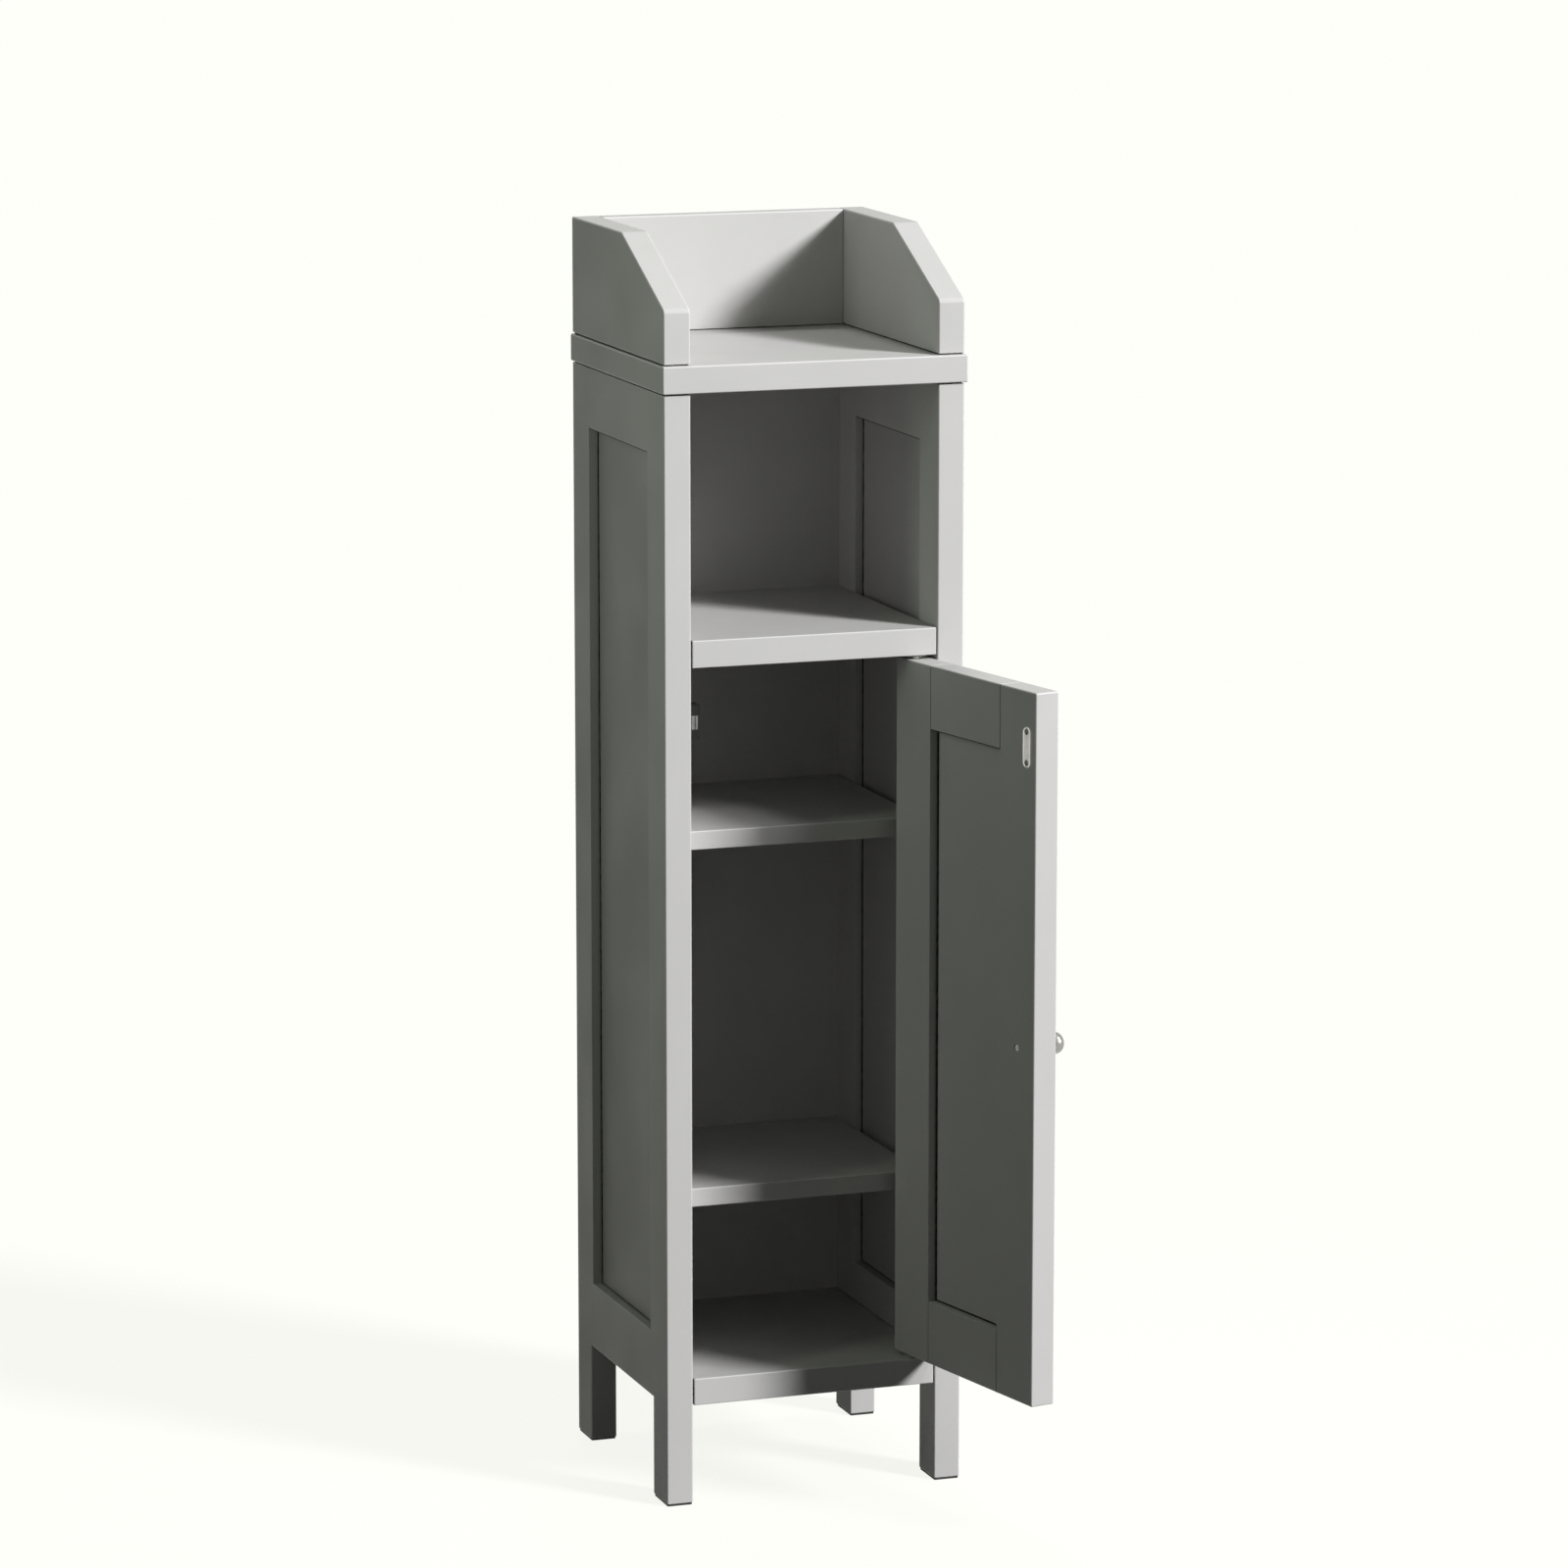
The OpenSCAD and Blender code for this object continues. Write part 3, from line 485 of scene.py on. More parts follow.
def drillHole(bm, side, center, radius, depth):
    for axis in range(3):
        if axis != sides[side][0]:
            for way in (-modelling["holeFrame"], modelling["holeFrame"]):
                cut = faceAt(bm, side, center)
                place = Vector(center)
                place[axis] += way * radius
                across = Vector(1 if i == axis else 0 for i in range(3))
                bmesh.ops.bisect_plane(bm, geom=[cut] + cut.edges[:] + cut.verts[:],
                                       dist=modelling["weld"], plane_co=place, plane_no=across)
    square = faceAt(bm, side, center)
    border = square.edges[:]
    bmesh.ops.delete(bm, geom=[square], context="FACES_ONLY")
    turn = sideVector(side, 1).to_track_quat("Z", "Y").to_matrix().to_4x4()
    ring = bmesh.ops.create_circle(bm, segments=modelling["holeSteps"], radius=radius,
                                   matrix=Matrix.Translation(center) @ turn)
    mouth = list({edge for vert in ring["verts"] for edge in vert.link_edges})
    bmesh.ops.triangle_fill(bm, use_beauty=True, edges=border + mouth)
    wall = bmesh.ops.extrude_edge_only(bm, edges=mouth)
    bottom = grown(wall)
    bmesh.ops.translate(bm, vec=-sideVector(side, depth), verts=bottom)
    rim = [item for item in wall["geom"] if isinstance(item, bmesh.types.BMEdge)
           and item.verts[0] in bottom and item.verts[1] in bottom]
    bmesh.ops.edgeloop_fill(bm, edges=rim)


def blockBetween(low, high):
    bm = bmesh.new()
    bmesh.ops.create_cube(bm, size=1)
    bmesh.ops.scale(bm, vec=high - low, verts=bm.verts)
    bmesh.ops.translate(bm, vec=(low + high) / 2, verts=bm.verts)
    return bm


def plainName(node):
    words = node.split("_")
    return words[0] + "".join(word.capitalize() for word in words[1:])


# A plain board. Its ends in the joints and its shaded edges take the near-black finish of the seams, as painted
# shade
def paintedBoard(node, body, look):
    bm = blockBetween(*nodeBox(node))
    # The ends that stand against the uprights are painted near black, as shade in the joint
    for side in look.get("bareEnds", ()):
        bigFace(bm, side).material_index = paintedShadeSlot
    shaded = []
    # The shaded edges are chamfered and the chamfer painted near black, as a painted shadow line
    for side, width in look.get("shadedEdges", ()):
        face = bigFace(bm, side)
        longest = max(edge.calc_length() for edge in face.edges)
        rims = [edge for edge in face.edges if edge.calc_length() > longest - mm]
        shaded += bmesh.ops.bevel(bm, geom=rims, offset=width, offset_type="OFFSET", segments=1,
                                  profile=0.5, affect="EDGES", material=paintedShadeSlot)["faces"]
    arris = max(width for _, width in look["arris"])
    weighEdges(bm, look["arris"], arris)
    for edge in {edge for face in shaded for edge in face.edges}:
        edge[weightLayer(bm)] = 0
    for side, (gap, depth) in look.get("joints", {}).items():
        openJoint(bm, [bigFace(bm, side)], gap, depth, look.get("through", ()))
    for side, center, radius, depth in look.get("holes", ()):
        drillHole(bm, side, center, radius, depth)
    addPiece(plainName(node), bm, body, "grey_paint", (node,), arris)


# A panel with the groove that runs round it inside its frame, the groove painted near black as shade
def groovedPanel(node, body, faceSides, lap, groove):
    low, high = nodeBox(node)
    middle = (low + high) / 2
    bm = blockBetween(low, high)
    for side in faceSides:
        field = bigFace(bm, side)
        bmesh.ops.inset_region(bm, faces=[field], thickness=lap, use_even_offset=True)
        rim = bmesh.ops.inset_region(bm, faces=[field], thickness=groove["width"],
                                     use_even_offset=True)["faces"]
        for vert in field.verts:
            vert.co.z += math.copysign(groove["width"] - groove["endWidth"], vert.co.z - middle.z)
        _, bottom = pushFaces(bm, rim, -sideVector(side, groove["depth"]))
        # The groove's floor and the faces beside it take the near-black finish: painted shade
        for face in bottom:
            for edge in face.edges:
                for other in edge.link_faces:
                    other.material_index = paintedShadeSlot
    addPiece(plainName(node), bm, body, "grey_paint", (node,))


# Side frames: uprights that run down as legs, two rails and a panel in grooves

sideFrame = {
    "arris": 1.6 * mm,
    "windowArris": 0.5 * mm,
    # The window shade is a chamfer over the panel painted near black: a painted shadow line
    "windowShade": 1.1 * mm,  # dark chamfer over the panel
    "jointArris": 0.25 * mm,
    "topArris": 0.6 * mm,
    "footArris": 1.0 * mm,
    "topJoint": (1.5 * mm, 3.0 * mm),
    "panelGroove": {"width": 3.6 * mm, "endWidth": 1.7 * mm, "depth": 2.6 * mm},
}


# An upright is one grid of cells grown down to the floor and up to the top board. The rear one
# is notched where the back panel lies
def makeStile(side, end):
    node = side + "_" + end + "_stile"
    low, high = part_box(node)
    railLow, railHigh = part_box(side + "_bottom_rail")
    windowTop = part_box(side + "_top_rail")[0].z
    backLow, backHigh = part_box("back_panel")
    step, window = railLow.z, railHigh.z
    gap, depth = sideFrame["topJoint"]
    legEnds = [p.y for p in nodePoints(node) if p.z < step - mm]
    railSide, legEdge = (high.y, max(legEnds)) if end == "front" else (low.y, min(legEnds))
    xs, ys = [low.x, high.x], [low.y, legEdge, high.y]
    lapEdge = backHigh.x if side == "right" else backLow.x
    if end == "rear":
        xs, ys = [low.x, lapEdge, high.x], [low.y, legEdge, backLow.y, high.y]
    bm = bmesh.new()
    bmesh.ops.create_grid(bm, x_segments=len(xs) - 1, y_segments=len(ys) - 1, size=0.5)
    for vert in bm.verts:
        column = round((vert.co.x + 0.5) * (len(xs) - 1))
        row = round((vert.co.y + 0.5) * (len(ys) - 1))
        vert.co = (xs[column], ys[row], step)
    legCells, uprightCells = [], []
    for face in bm.faces:
        spot = face.calc_center_median()
        if abs(spot.y - railSide) > abs(legEdge - railSide):
            legCells.append(face)
        if not (end == "rear" and spot.y > backLow.y and abs(spot.x) < abs(lapEdge)):
            uprightCells.append(face)
    both = [face for face in legCells if face in uprightCells]
    for cells, level in ((legCells, low.z), (uprightCells, high.z)):
        edges = list({edge for face in cells for edge in face.edges})
        moved = grown(bmesh.ops.extrude_face_region(bm, geom=cells + edges, use_keep_orig=True))
        bmesh.ops.translate(bm, vec=(0, 0, level - step), verts=moved)
    bmesh.ops.delete(bm, geom=both, context="FACES_ONLY")
    bmesh.ops.delete(bm, geom=[edge for edge in bm.edges if edge.is_wire], context="EDGES")
    bmesh.ops.recalc_face_normals(bm, faces=bm.faces)
    bm.normal_update()
    crown = [face for face in bm.faces
             if facesSide(face, "top") and face.calc_center_median().z > high.z - mm]
    openJoint(bm, crown, gap, depth, ("back" if end == "front" else "front",))
    for level in (window, windowTop):
        bmesh.ops.bisect_plane(bm, geom=bm.verts[:] + bm.edges[:] + bm.faces[:],
                               dist=modelling["weld"], plane_co=(0, 0, level), plane_no=(0, 0, 1))
    bm.normal_update()
    layer = weightLayer(bm)
    near = 0.01 * mm
    for edge in bm.edges:
        if edge.calc_face_angle_signed(0) < modelling["arrisAngle"]:
            continue
        spot = (edge.verts[0].co + edge.verts[1].co) / 2
        width = sideFrame["arris"]
        if spot.z > high.z - gap + near:
            width = 0
        elif spot.z > high.z - gap - near:
            width = 0 if abs(spot.y - railSide) < near else sideFrame["topArris"]
        elif abs(spot.y - railSide) < near:
            width = sideFrame["windowArris" if window < spot.z < windowTop else "jointArris"]
        elif end == "rear" and spot.y > backLow.y - near and abs(spot.x) < abs(lapEdge) + near:
            width = sideFrame["jointArris"]
        elif spot.z < low.z + mm:
            width = sideFrame["footArris"]
        edge[layer] = width / sideFrame["arris"]
    addPiece(plainName(node), bm, "carcass", "grey_paint", (node,), sideFrame["arris"])


def makeSideFrame(side):
    for end in ("front", "rear"):
        makeStile(side, end)
    ends = [("front", sideFrame["jointArris"]), ("back", sideFrame["jointArris"])]
    paintedBoard(side + "_top_rail", "carcass", {
        "arris": ends + [("top", sideFrame["topArris"])],
        "shadedEdges": [("under", sideFrame["windowShade"])],
        "joints": {"top": sideFrame["topJoint"]}, "through": ("front", "back")})
    paintedBoard(side + "_bottom_rail", "carcass", {
        "arris": ends + [("top", sideFrame["windowArris"]), ("under", sideFrame["arris"])]})
    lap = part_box(side + "_bottom_rail")[1].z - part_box(side + "_side_panel")[0].z
    groovedPanel(side + "_side_panel", "carcass", ("left", "right"), lap, sideFrame["panelGroove"])


for side in ("left", "right"):
    makeSideFrame(side)
print("side frames made")


# Boards and shelves, with the holes that show on their undersides

boards = {
    "arris": 1.5 * mm,
    "shelfArris": 1.2 * mm,
    "endArris": 0.5 * mm,
    "camRoom": 0.1 * mm,
    "screwRoom": 0.05 * mm,
    "screwMouth": 2.4 * mm,
}


# Holes in an underside at this level, one for each solid of the node that ends there
def holesFor(node, level, room, depth=None):
    holes = []
    for low, high in looseBoxes(node):
        if abs(low.z - level) < mm:
            center = Vector(((low.x + high.x) / 2, (low.y + high.y) / 2, level))
            holes.append(("under", center, (high.x - low.x) / 2 + room, depth or high.z - low.z + room))
    return holes


shelfEdges = [("front", boards["shelfArris"]), ("", boards["endArris"])]
# The shelves' ends in the joints with the uprights are painted near black as shade
for node in ("fixed_shelf", "bottom_board", "upper_shelf", "lower_shelf"):
    paintedBoard(node, "carcass", {
        "arris": shelfEdges, "bareEnds": ("left", "right"),
        "holes": holesFor("cam_locks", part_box(node)[0].z, boards["camRoom"])})
paintedBoard("top_board", "carcass", {
    "arris": [("", boards["arris"])],
    "holes": holesFor("gallery_screws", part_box("top_board")[0].z, boards["screwRoom"], boards["screwMouth"])})
print("boards made")


# Gallery sides: one outline with both bends rounded, grown to the board's thickness

gallery = {
    "arris": 1.6 * mm,
    "endArris": 1.0 * mm,
    "kneeRadius": 11 * mm,
    "toeRadius": 6 * mm,
    "bendSegments": 8,
    "footJoint": (1.0 * mm, 2.0 * mm),
    "backJoint": (0.5 * mm, 2.0 * mm),
}


def makeGallerySide(side):
    node = "gallery_" + side
    low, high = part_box(node)
    points = nodePoints(node)
    near = 0.02 * mm
    levelFrom = min(p.y for p in points if p.z > high.z - near)
    frontTop = max(p.z for p in points if p.y < low.y + near)
    slope = math.atan2(high.z - frontTop, levelFrom - low.y)
    knee = Vector((low.x, levelFrom - gallery["kneeRadius"] * math.tan(slope / 2), high.z))
    toe = Vector((low.x, low.y, frontTop + gallery["toeRadius"] * math.tan((math.pi / 2 - slope) / 2)))
    outline = [Vector((low.x, high.y, low.z)), Vector((low.x, high.y, high.z)), knee, toe,
               Vector((low.x, low.y, low.z))]
    bm = bmesh.new()
    corners = [bm.verts.new(point) for point in outline]
    bm.faces.new(corners)
    for corner, turn, radius in ((corners[2], slope, gallery["kneeRadius"]),
                                 (corners[3], math.pi / 2 - slope, gallery["toeRadius"])):
        bmesh.ops.bevel(bm, geom=[corner], offset=radius * math.tan(turn / 2), offset_type="OFFSET",
                        segments=gallery["bendSegments"], profile=0.5, affect="VERTICES", material=-1)
    bmesh.ops.translate(bm, vec=(high.x - low.x, 0, 0),
                        verts=grown(bmesh.ops.extrude_face_region(bm, geom=bm.faces[:])))
    bmesh.ops.recalc_face_normals(bm, faces=bm.faces)
    weighEdges(bm, [("left", gallery["arris"]), ("right", gallery["arris"]), ("", gallery["endArris"])],
               gallery["arris"])
    openJoint(bm, [bigFace(bm, "under")], *gallery["footJoint"])
    addPiece("gallery" + side.capitalize(), bm, "carcass", "grey_paint", (node,), gallery["arris"])


for side in ("left", "right"):
    makeGallerySide(side)
paintedBoard("gallery_back", "carcass", {
    "arris": [("top", gallery["arris"]), ("", sideFrame["jointArris"])],
    "joints": {"under": gallery["footJoint"], "left": gallery["backJoint"], "right": gallery["backJoint"]}})
print("gallery made")


# Door: two uprights and two rails that meet in fine open joints, with a panel in grooves

door = {
    "arris": 1.6 * mm,
    "hingeRadius": 9.0 * mm,
    "windowArris": 0.5 * mm,
    "jointArris": 0.3 * mm,
    # The window shade is a chamfer over the panel painted near black: a painted shadow line
    "windowShade": 1.1 * mm,  # dark chamfer over the panel
    "railJoint": (0.9 * mm, 1.5 * mm),
    "panelGroove": {"width": 3.6 * mm, "endWidth": 1.7 * mm, "depth": 2.6 * mm},
    "screwSeat": 4.0 * mm,
    "screwRoom": 0.6 * mm,
}


def makeDoor():
    inner = nodeBox("door_free_stile")[1].y
    screwLow, screwHigh = nodeBox("knob_screw")
    seat = Vector(((screwLow.x + screwHigh.x) / 2, inner, (screwLow.z + screwHigh.z) / 2))
    seatRadius = (screwHigh.x - screwLow.x) / 2 + door["screwRoom"]
    paintedBoard("door_hinge_stile", "door", {
        "arris": [("front right", door["hingeRadius"]), ("left", door["jointArris"]), ("", door["arris"])]})
    paintedBoard("door_free_stile", "door", {
        "arris": [("right", door["jointArris"]), ("", door["arris"])],
        "holes": [("back", seat, seatRadius, door["screwSeat"])]})
    ends = [("left", door["jointArris"]), ("right", door["jointArris"])]
    joints = {"left": door["railJoint"], "right": door["railJoint"]}
    paintedBoard("door_top_rail", "door", {
        "arris": ends + [("", door["arris"])], "joints": joints,
        "shadedEdges": [("under", door["windowShade"])]})
    paintedBoard("door_bottom_rail", "door", {
        "arris": ends + [("top", door["windowArris"]), ("", door["arris"])], "joints": joints})
    lap = nodeBox("door_bottom_rail")[1].z - nodeBox("door_panel")[0].z
    groovedPanel("door_panel", "door", ("front", "back"), lap, door["panelGroove"])


makeDoor()
print("door made")


# Knob: its outline is spun round its own axis, then laid on the door's outer face

def spinOutline(bm, outline, steps):
    ring = [bm.verts.new((radius, 0, height)) for radius, height in outline]
    edges = [bm.edges.new(pair) for pair in zip(ring, ring[1:])]
    bmesh.ops.spin(bm, geom=ring + edges, cent=(0, 0, 0), axis=(0, 0, 1), angle=2 * math.pi,
                   steps=steps, use_merge=True)
    bmesh.ops.remove_doubles(bm, verts=bm.verts, dist=modelling["looseWeld"])


knob = {
    "baseRadius": 6.5 * mm,
    "baseDepth": 2.0 * mm,
    "baseChamfer": 0.5 * mm,
    "neckRadius": 4.6 * mm,
    "flareWidth": 1.4 * mm,
    "flareDepth": 2.6 * mm,
    "flareSteps": 6,
    "headDepth": 8.5 * mm,
    "headSteps": 24,
    "steps": 72,
}


def makeKnob():
    low, high = nodeBox("knob")
    reach = high.y - low.y
    headRadius = (high.z - low.z) / 2
    headPlace = reach - knob["headDepth"]
    start = -math.acos(knob["neckRadius"] / headRadius)
    base, thick, chamfer = knob["baseRadius"], knob["baseDepth"], knob["baseChamfer"]
    outline = [(0, 0), (base - chamfer, 0), (base, chamfer), (base, thick - chamfer), (base - chamfer, thick)]
    for i in range(knob["flareSteps"]):
        angle = math.pi / 2 * (i + 1) / knob["flareSteps"]
        outline.append((knob["neckRadius"] + knob["flareWidth"] * (1 - math.sin(angle)),
                        thick + knob["flareDepth"] * (1 - math.cos(angle))))
    for i in range(knob["headSteps"] + 1):
        angle = start + (math.pi / 2 - start) * i / knob["headSteps"]
        outline.append((headRadius * math.cos(angle), headPlace + knob["headDepth"] * math.sin(angle)))
    bm = bmesh.new()
    spinOutline(bm, outline, knob["steps"])
    lay = Matrix.Translation(((low.x + high.x) / 2, high.y, (low.z + high.z) / 2))
    bmesh.ops.transform(bm, matrix=lay @ Matrix.Rotation(math.pi / 2, 4, "X"), verts=bm.verts)
    addPiece("doorKnob", bm, "door", "satin_nickel", ("knob",))


makeKnob()
print("knob made")


# Screws with cross recesses, drawn point down with the head on top and then laid in their places

screws = {
    "steps": 24,
    "panShape": ((0.72, 0), (0.93, 0.3), (1, 0.62), (1, 1)),  # shares of the head's radius and height
    "rimShare": 0.06,
    "tipShare": 0.25,
    "tipLength": 1.5,
    "recessShare": 0.72,
    "recessWidth": 0.38,
    "recessDepth": 0.75,
    "recessTaper": 0.72,
    "faceSlack": 1.02,
    "crossInner": 0.9,
}


def headFaces(screw, flat):
    reach = flat * screws["recessShare"] * screws["faceSlack"]
    return [face for face in screw.faces if face.calc_center_median().z > -modelling["weld"]
            and all(vert.co.xy.length < reach for vert in face.verts)]


# Sunk heads are flat with a cone below. With pan, the height of its head, the screw has a round one
def crossScrew(bm, mouth, out, headRadius, length, pan=0):
    shank = headRadius / 2
    if pan:
        outline = [(headRadius * wide, -pan * deep) for wide, deep in screws["panShape"]]
        outline.append((shank, -pan))
    else:
        rim = -screws["rimShare"] * headRadius
        outline = [(headRadius, 0), (headRadius, rim), (shank, rim - shank)]
    outline += [(shank, -length + shank * screws["tipLength"]), (shank * screws["tipShare"], -length),
                (0, -length)]
    screw = bmesh.new()
    spinOutline(screw, outline, screws["steps"])
    mouthEdges = [edge for edge in screw.edges if edge.is_boundary]
    head = bmesh.ops.edgeloop_fill(screw, edges=mouthEdges)["faces"][0]
    flat = outline[0][0]
    bmesh.ops.inset_region(screw, faces=[head], thickness=flat * (1 - screws["recessShare"]))
    half = headRadius * screws["recessWidth"] / 2
    for axis in ((1, 0, 0), (0, 1, 0)):
        for way in (-half, half):
            disc = headFaces(screw, flat)
            edges = list({edge for face in disc for edge in face.edges})
            verts = list({vert for face in disc for vert in face.verts})
            bmesh.ops.bisect_plane(screw, geom=disc + edges + verts, dist=modelling["weld"],
                                   plane_co=Vector(axis) * way, plane_no=axis)
    cross = []
    for face in headFaces(screw, flat):
        spot = face.calc_center_median()
        if min(abs(spot.x), abs(spot.y)) < half * screws["crossInner"]:
            cross.append(face)
    sunk, _ = pushFaces(screw, cross, Vector((0, 0, -headRadius * screws["recessDepth"])))
    bmesh.ops.scale(screw, vec=(screws["recessTaper"], screws["recessTaper"], 1), verts=sunk)
    bmesh.ops.recalc_face_normals(screw, faces=screw.faces)
    turn = Vector(out).to_track_quat("Z", "Y").to_matrix().to_4x4()
    bmesh.ops.transform(screw, matrix=Matrix.Translation(mouth) @ turn, verts=screw.verts)
    holder = bpy.data.meshes.new("screwHolder")
    screw.to_mesh(holder)
    screw.free()
    bm.from_mesh(holder)
    bpy.data.meshes.remove(holder)


def makeScrews(node, body, side, slotName="zinc_steel"):
    axis, sign = sides[side]
    across = 2 if axis < 2 else 0
    bm = bmesh.new()
    for low, high in looseBoxes(node):
        mouth = (low + high) / 2
        mouth[axis] = high[axis] if sign > 0 else low[axis]
        headRadius = (high[across] - low[across]) / 2
        crossScrew(bm, mouth, sideVector(side, 1), headRadius, high[axis] - low[axis])
    addPiece(plainName(node), bm, body, slotName, (node,))


makeScrews("back_screws", "carcass", "back")
makeScrews("gallery_screws", "carcass", "under")
makeScrews("catch_screws", "carcass", "right")
makeScrews("strike_screws", "door", "back", "satin_nickel")


def makeKnobScrew():
    low, high = nodeBox("knob_screw")
    bm = bmesh.new()
    mouth = Vector(((low.x + high.x) / 2, high.y, (low.z + high.z) / 2))
    seat = nodeBox("door_free_stile")[1].y - door["screwSeat"]
    crossScrew(bm, mouth, (0, 1, 0), (high.x - low.x) / 2, high.y - low.y, pan=high.y - seat)
    addPiece("knobScrew", bm, "door", "zinc_steel", ("knob_screw",))


makeKnobScrew()
print("screws made")


# Strike plate: a pressed plate with round ends, a rounded rim and two countersunk holes

plate = {
    "steps": 40,
    "rim": 0.30 * mm,
    "band": 0.35 * mm,
    "slope": 0.20 * mm,
    "sunk": 0.30 * mm,
    "screwRoom": 0.12 * mm,
    "holeShare": 0.55,
    "holeSteps": 24,
}


# A ring of edges with two straight sides, each half of it moved out by half. No half leaves a circle
def slottedLoop(bm, radius, half, place, steps):
    ring = bmesh.ops.create_circle(bm, segments=steps, radius=radius)["verts"]
    bmesh.ops.rotate(bm, cent=(0, 0, 0), matrix=Matrix.Rotation(math.pi / steps, 3, "Z"), verts=ring)
    for vert in ring:
        vert.co.y += math.copysign(half, vert.co.y)
        vert.co += place
    return list({edge for vert in ring for edge in vert.link_edges})


def makeStrikePlate():
    low, high = nodeBox("strike_plate")
    radius = (high.x - low.x) / 2
    half = (high.z - low.z) / 2 - radius
    thick = high.y - low.y
    bm = bmesh.new()
    screwBoxes = looseBoxes("strike_screws")
    middle = (low + high) / 2
    inner = plate["rim"] + plate["band"]
    field = thick - plate["sunk"]
    section = ((0, 0), (thick - plate["rim"], 0), (thick, plate["rim"]), (thick, inner),
               (field, inner + plate["slope"]))
    rings = [slottedLoop(bm, radius - shrink, half, Vector((0, 0, level)), plate["steps"])
             for level, shrink in section]
    for ringA, ringB in zip(rings, rings[1:]):
        bmesh.ops.bridge_loops(bm, edges=ringA + ringB)
    mouths = [], []
    for row, level, share in ((mouths[0], 0, plate["holeShare"]), (mouths[1], field, 1)):
        for boxLow, boxHigh in screwBoxes:
            mouthRadius = ((boxHigh.x - boxLow.x) / 2 + plate["screwRoom"]) * share
            place = Vector((0, (boxLow.z + boxHigh.z) / 2 - middle.z, level))
            row.append(slottedLoop(bm, mouthRadius, 0, place, plate["holeSteps"]))
    for under, over in zip(*mouths):
        bmesh.ops.bridge_loops(bm, edges=under + over)
    for ring, holes in ((rings[0], mouths[0]), (rings[-1], mouths[1])):
        bmesh.ops.triangle_fill(bm, use_beauty=True, edges=ring + [edge for hole in holes for edge in hole])
    stand = Matrix(((-1, 0, 0, 0), (0, 0, 1, 0), (0, 1, 0, 0), (0, 0, 0, 1)))
    lay = Matrix.Translation((middle.x, low.y, middle.z)) @ stand
    bmesh.ops.transform(bm, matrix=lay, verts=bm.verts)
    addPiece("strikePlate", bm, "door", "satin_nickel", ("strike_plate",))


makeStrikePlate()
print("strike plate made")


# Camera, fitted to the corners that show in the picture

camera = {
    "cornerToCamera": Vector((-2053.36, -5807.42, 1833.56)) * mm,  # from the middle of the cabinet's front
    "yaw": 0.33513,
    "pitch": 0.18375,
    "lens": 153.469,
    "sensor": 36,
    "reach": 100,
}


def makeCamera():
    data = bpy.data.cameras.new("viewCamera")
    data.sensor_width = camera["sensor"]
    data.lens = camera["lens"]
    data.clip_end = camera["reach"]
    viewer = bpy.data.objects.new("viewCamera", data)
    left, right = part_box("left_front_stile")[0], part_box("right_front_stile")[1]
    viewer.location = Vector(((left.x + right.x) / 2, left.y, 0)) + camera["cornerToCamera"]
    viewer.rotation_euler = (math.pi / 2 - camera["pitch"], 0, -camera["yaw"])
    bpy.context.scene.collection.objects.link(viewer)
    bpy.context.scene.camera = viewer


makeCamera()
print("camera made")


# Studio: a pale floor and sky, a soft sun with a nearer lamp in the same direction, a weaker sun
# from above and behind, and a tall weak strip on the left

studio = {
    "keyFrom": Vector((0.85, -1.0, 0.63)),
    "sunDistance": 5,
    "sunSize": math.radians(10),
    "sunStrength": 4.3,
    "keyColor": (0.99, 0.985, 1.0),
    "nearDistance": 1.7,
    "nearSize": 0.36,
    "nearPower": 13,
    "stripPlace": Vector((-1.05, -0.34, 1.36)),
    "stripSize": (0.16, 0.8),
    "stripPower": 1.95,
    "stripColor": (0.88, 1.0, 0.82),
    "topFrom": Vector((0.25, 0.9, 3.0)),
    "topStrength": 0.7,
    "topSize": math.radians(12),
    "skyStrength": 0.06,
    "skyColor": (0.95, 1.0, 0.92),
    "floorSize": 70,
    "floorSteps": 8,
    "floorSeen": 0.894,
    "floorShade": 0.12,
    "floorBounce": 0.05,
    "paper": (0.991, 1.0, 0.947),
}


def aimedLamp(name, kind, place, target, size, strength, color=(1, 1, 1)):
    data = bpy.data.lights.new(name, kind)
    if kind == "SUN":
        data.angle = size
    else:
        data.shape = "RECTANGLE"
        data.size, data.size_y = size
    data.energy = strength
    data.color = color
    lamp = bpy.data.objects.new(name, data)
    lamp.location = place
    lamp.rotation_euler = (target - place).to_track_quat("-Z", "Y").to_euler()
    bpy.context.scene.collection.objects.link(lamp)


def seenPaper(tree, strength):
    paper = tree.nodes.new("ShaderNodeEmission")
    paper.inputs["Color"].default_value = (*studio["paper"], 1)
    paper.inputs["Strength"].default_value = strength
    return paper.outputs[0]


# 1 for the rays that show the floor or the sky themselves, 0 for those that light other things
def cameraOrShiny(tree):
    path = tree.nodes.new("ShaderNodeLightPath")
    last = path.outputs["Is Camera Ray"]
    for kind in ("Is Glossy Ray", "Is Transmission Ray"):
        either = tree.nodes.new("ShaderNodeMath")
        either.operation = "MAXIMUM"
        tree.links.new(last, either.inputs[0])
        tree.links.new(path.outputs[kind], either.inputs[1])
        last = either.outputs[0]
    return last


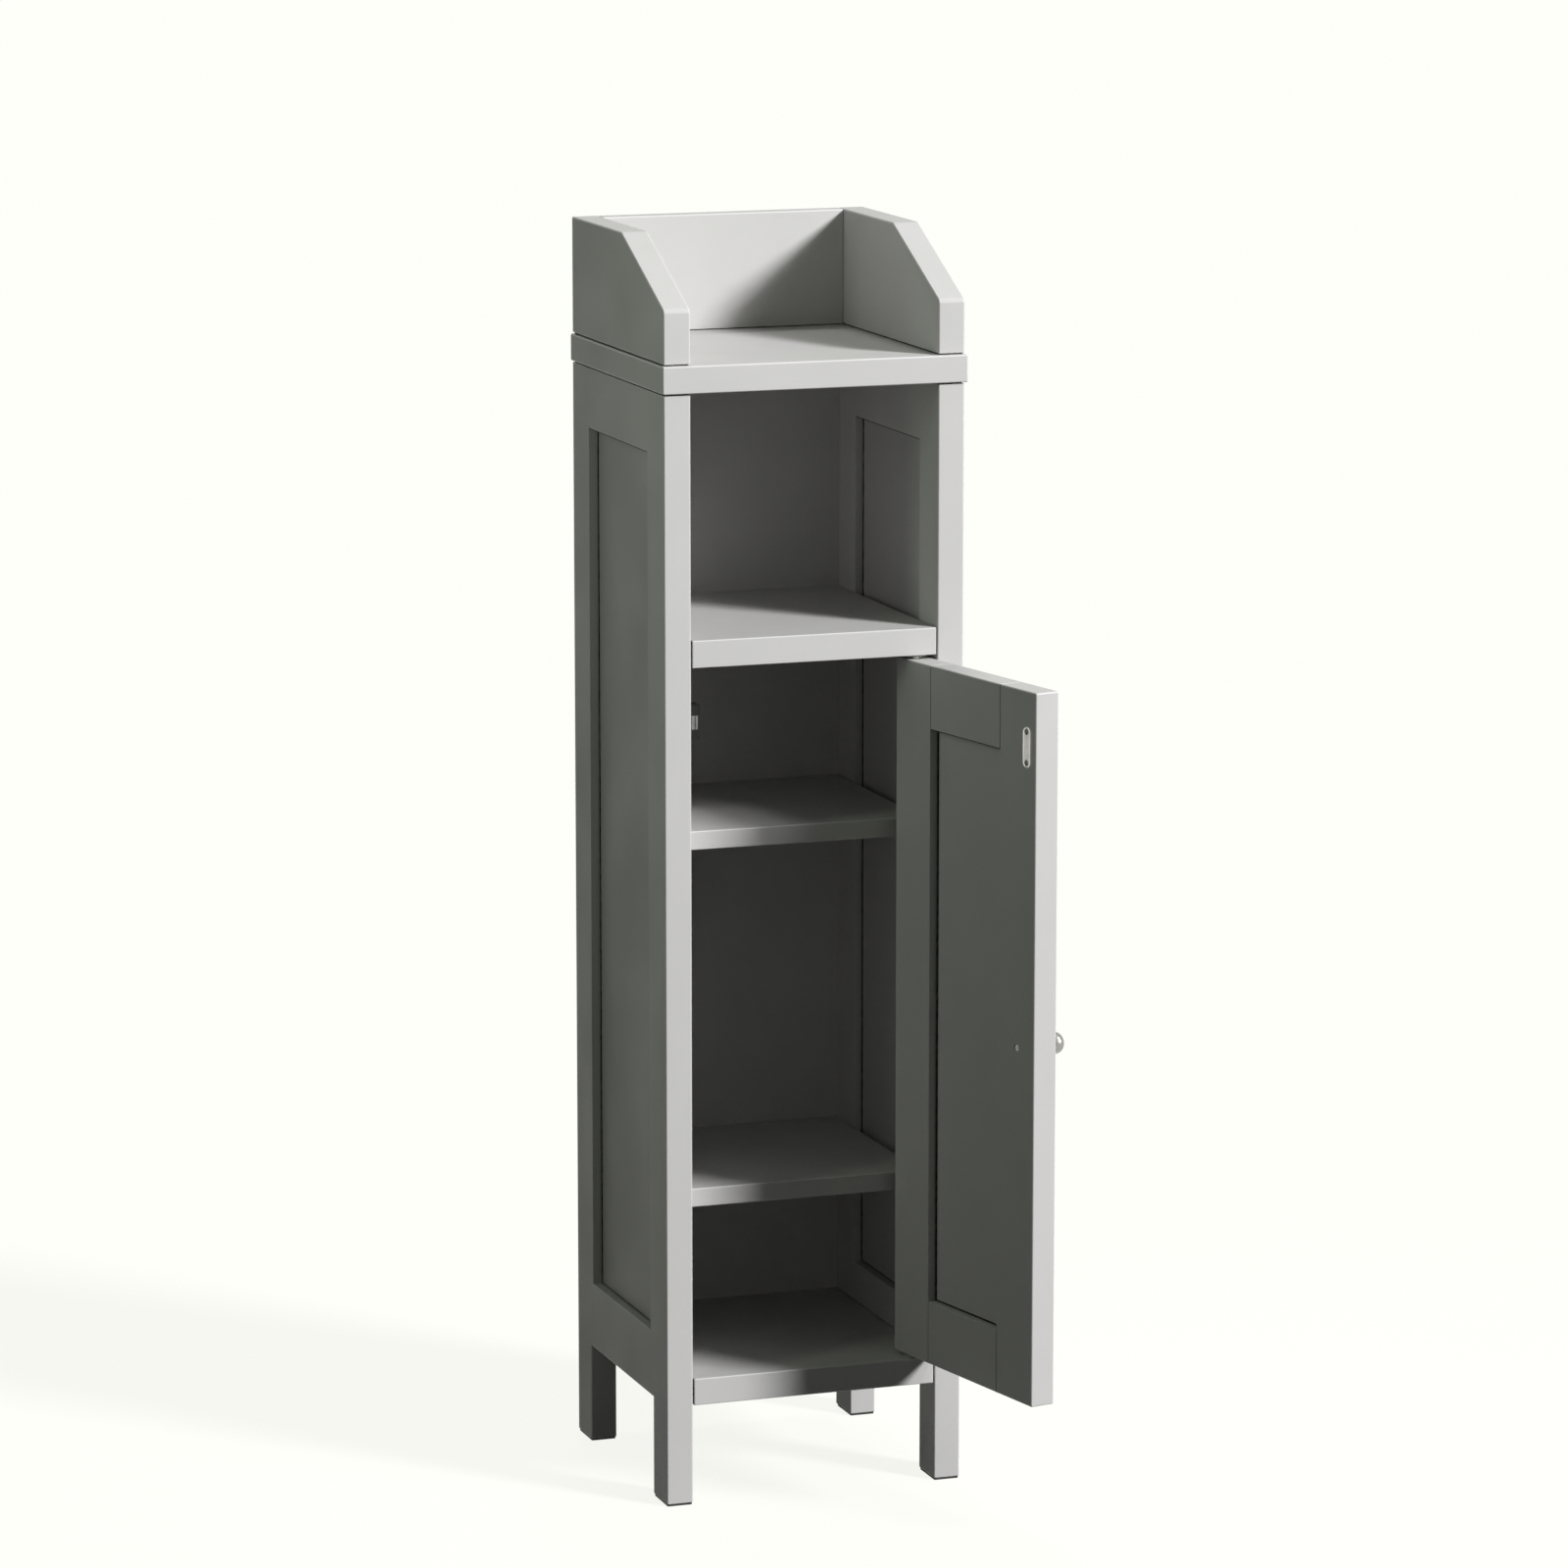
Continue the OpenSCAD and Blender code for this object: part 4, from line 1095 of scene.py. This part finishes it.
def makeFloor():
    bm = bmesh.new()
    bmesh.ops.create_grid(bm, x_segments=studio["floorSteps"], y_segments=studio["floorSteps"],
                          size=studio["floorSize"] / 2)
    floor = meshObject("studioFloor", bm)
    material = bpy.data.materials.new("studioPaper")
    material.use_nodes = True
    tree = material.node_tree
    tree.nodes.clear()
    output = tree.nodes.new("ShaderNodeOutputMaterial")
    mix = tree.nodes.new("ShaderNodeMixShader")
    plain = tree.nodes.new("ShaderNodeBsdfDiffuse")
    plain.inputs["Color"].default_value = (*[studio["floorBounce"]] * 3, 1)
    seen = tree.nodes.new("ShaderNodeAddShader")
    soft = tree.nodes.new("ShaderNodeBsdfDiffuse")
    soft.inputs["Color"].default_value = (*[studio["floorShade"] * tint for tint in studio["paper"]], 1)
    tree.links.new(seenPaper(tree, studio["floorSeen"]), seen.inputs[0])
    tree.links.new(soft.outputs[0], seen.inputs[1])
    tree.links.new(cameraOrShiny(tree), mix.inputs[0])
    tree.links.new(plain.outputs[0], mix.inputs[1])
    tree.links.new(seen.outputs[0], mix.inputs[2])
    tree.links.new(mix.outputs[0], output.inputs["Surface"])
    floor.data.materials.append(material)


def makeWorld():
    world = bpy.data.worlds.new("studioSky")
    world.use_nodes = True
    bpy.context.scene.world = world
    tree = world.node_tree
    tree.nodes.clear()
    output = tree.nodes.new("ShaderNodeOutputWorld")
    mix = tree.nodes.new("ShaderNodeMixShader")
    dim = tree.nodes.new("ShaderNodeBackground")
    dim.inputs["Color"].default_value = (*studio["skyColor"], 1)
    dim.inputs["Strength"].default_value = studio["skyStrength"]
    paper = tree.nodes.new("ShaderNodeBackground")
    paper.inputs["Color"].default_value = (*studio["paper"], 1)
    tree.links.new(cameraOrShiny(tree), mix.inputs[0])
    tree.links.new(dim.outputs[0], mix.inputs[1])
    tree.links.new(paper.outputs[0], mix.inputs[2])
    tree.links.new(mix.outputs[0], output.inputs["Surface"])


middle = Vector((0, 0, (cadLow.z + cadHigh.z) / 2))
crown = Vector((0, 0, cadHigh.z))
keyWay = studio["keyFrom"].normalized()
beside = Vector((0, 0, studio["stripPlace"].z))
aimedLamp("sunLamp", "SUN", middle + keyWay * studio["sunDistance"], middle, studio["sunSize"],
          studio["sunStrength"], studio["keyColor"])
aimedLamp("nearLamp", "AREA", crown + keyWay * studio["nearDistance"], crown, (studio["nearSize"],) * 2,
          studio["nearPower"], studio["keyColor"])
aimedLamp("stripLamp", "AREA", studio["stripPlace"], beside, studio["stripSize"], studio["stripPower"],
          studio["stripColor"])
aimedLamp("topLamp", "SUN", middle + studio["topFrom"], middle, studio["topSize"], studio["topStrength"])
makeFloor()
makeWorld()
bpy.context.scene.view_settings.view_transform = "Standard"
print("studio made")
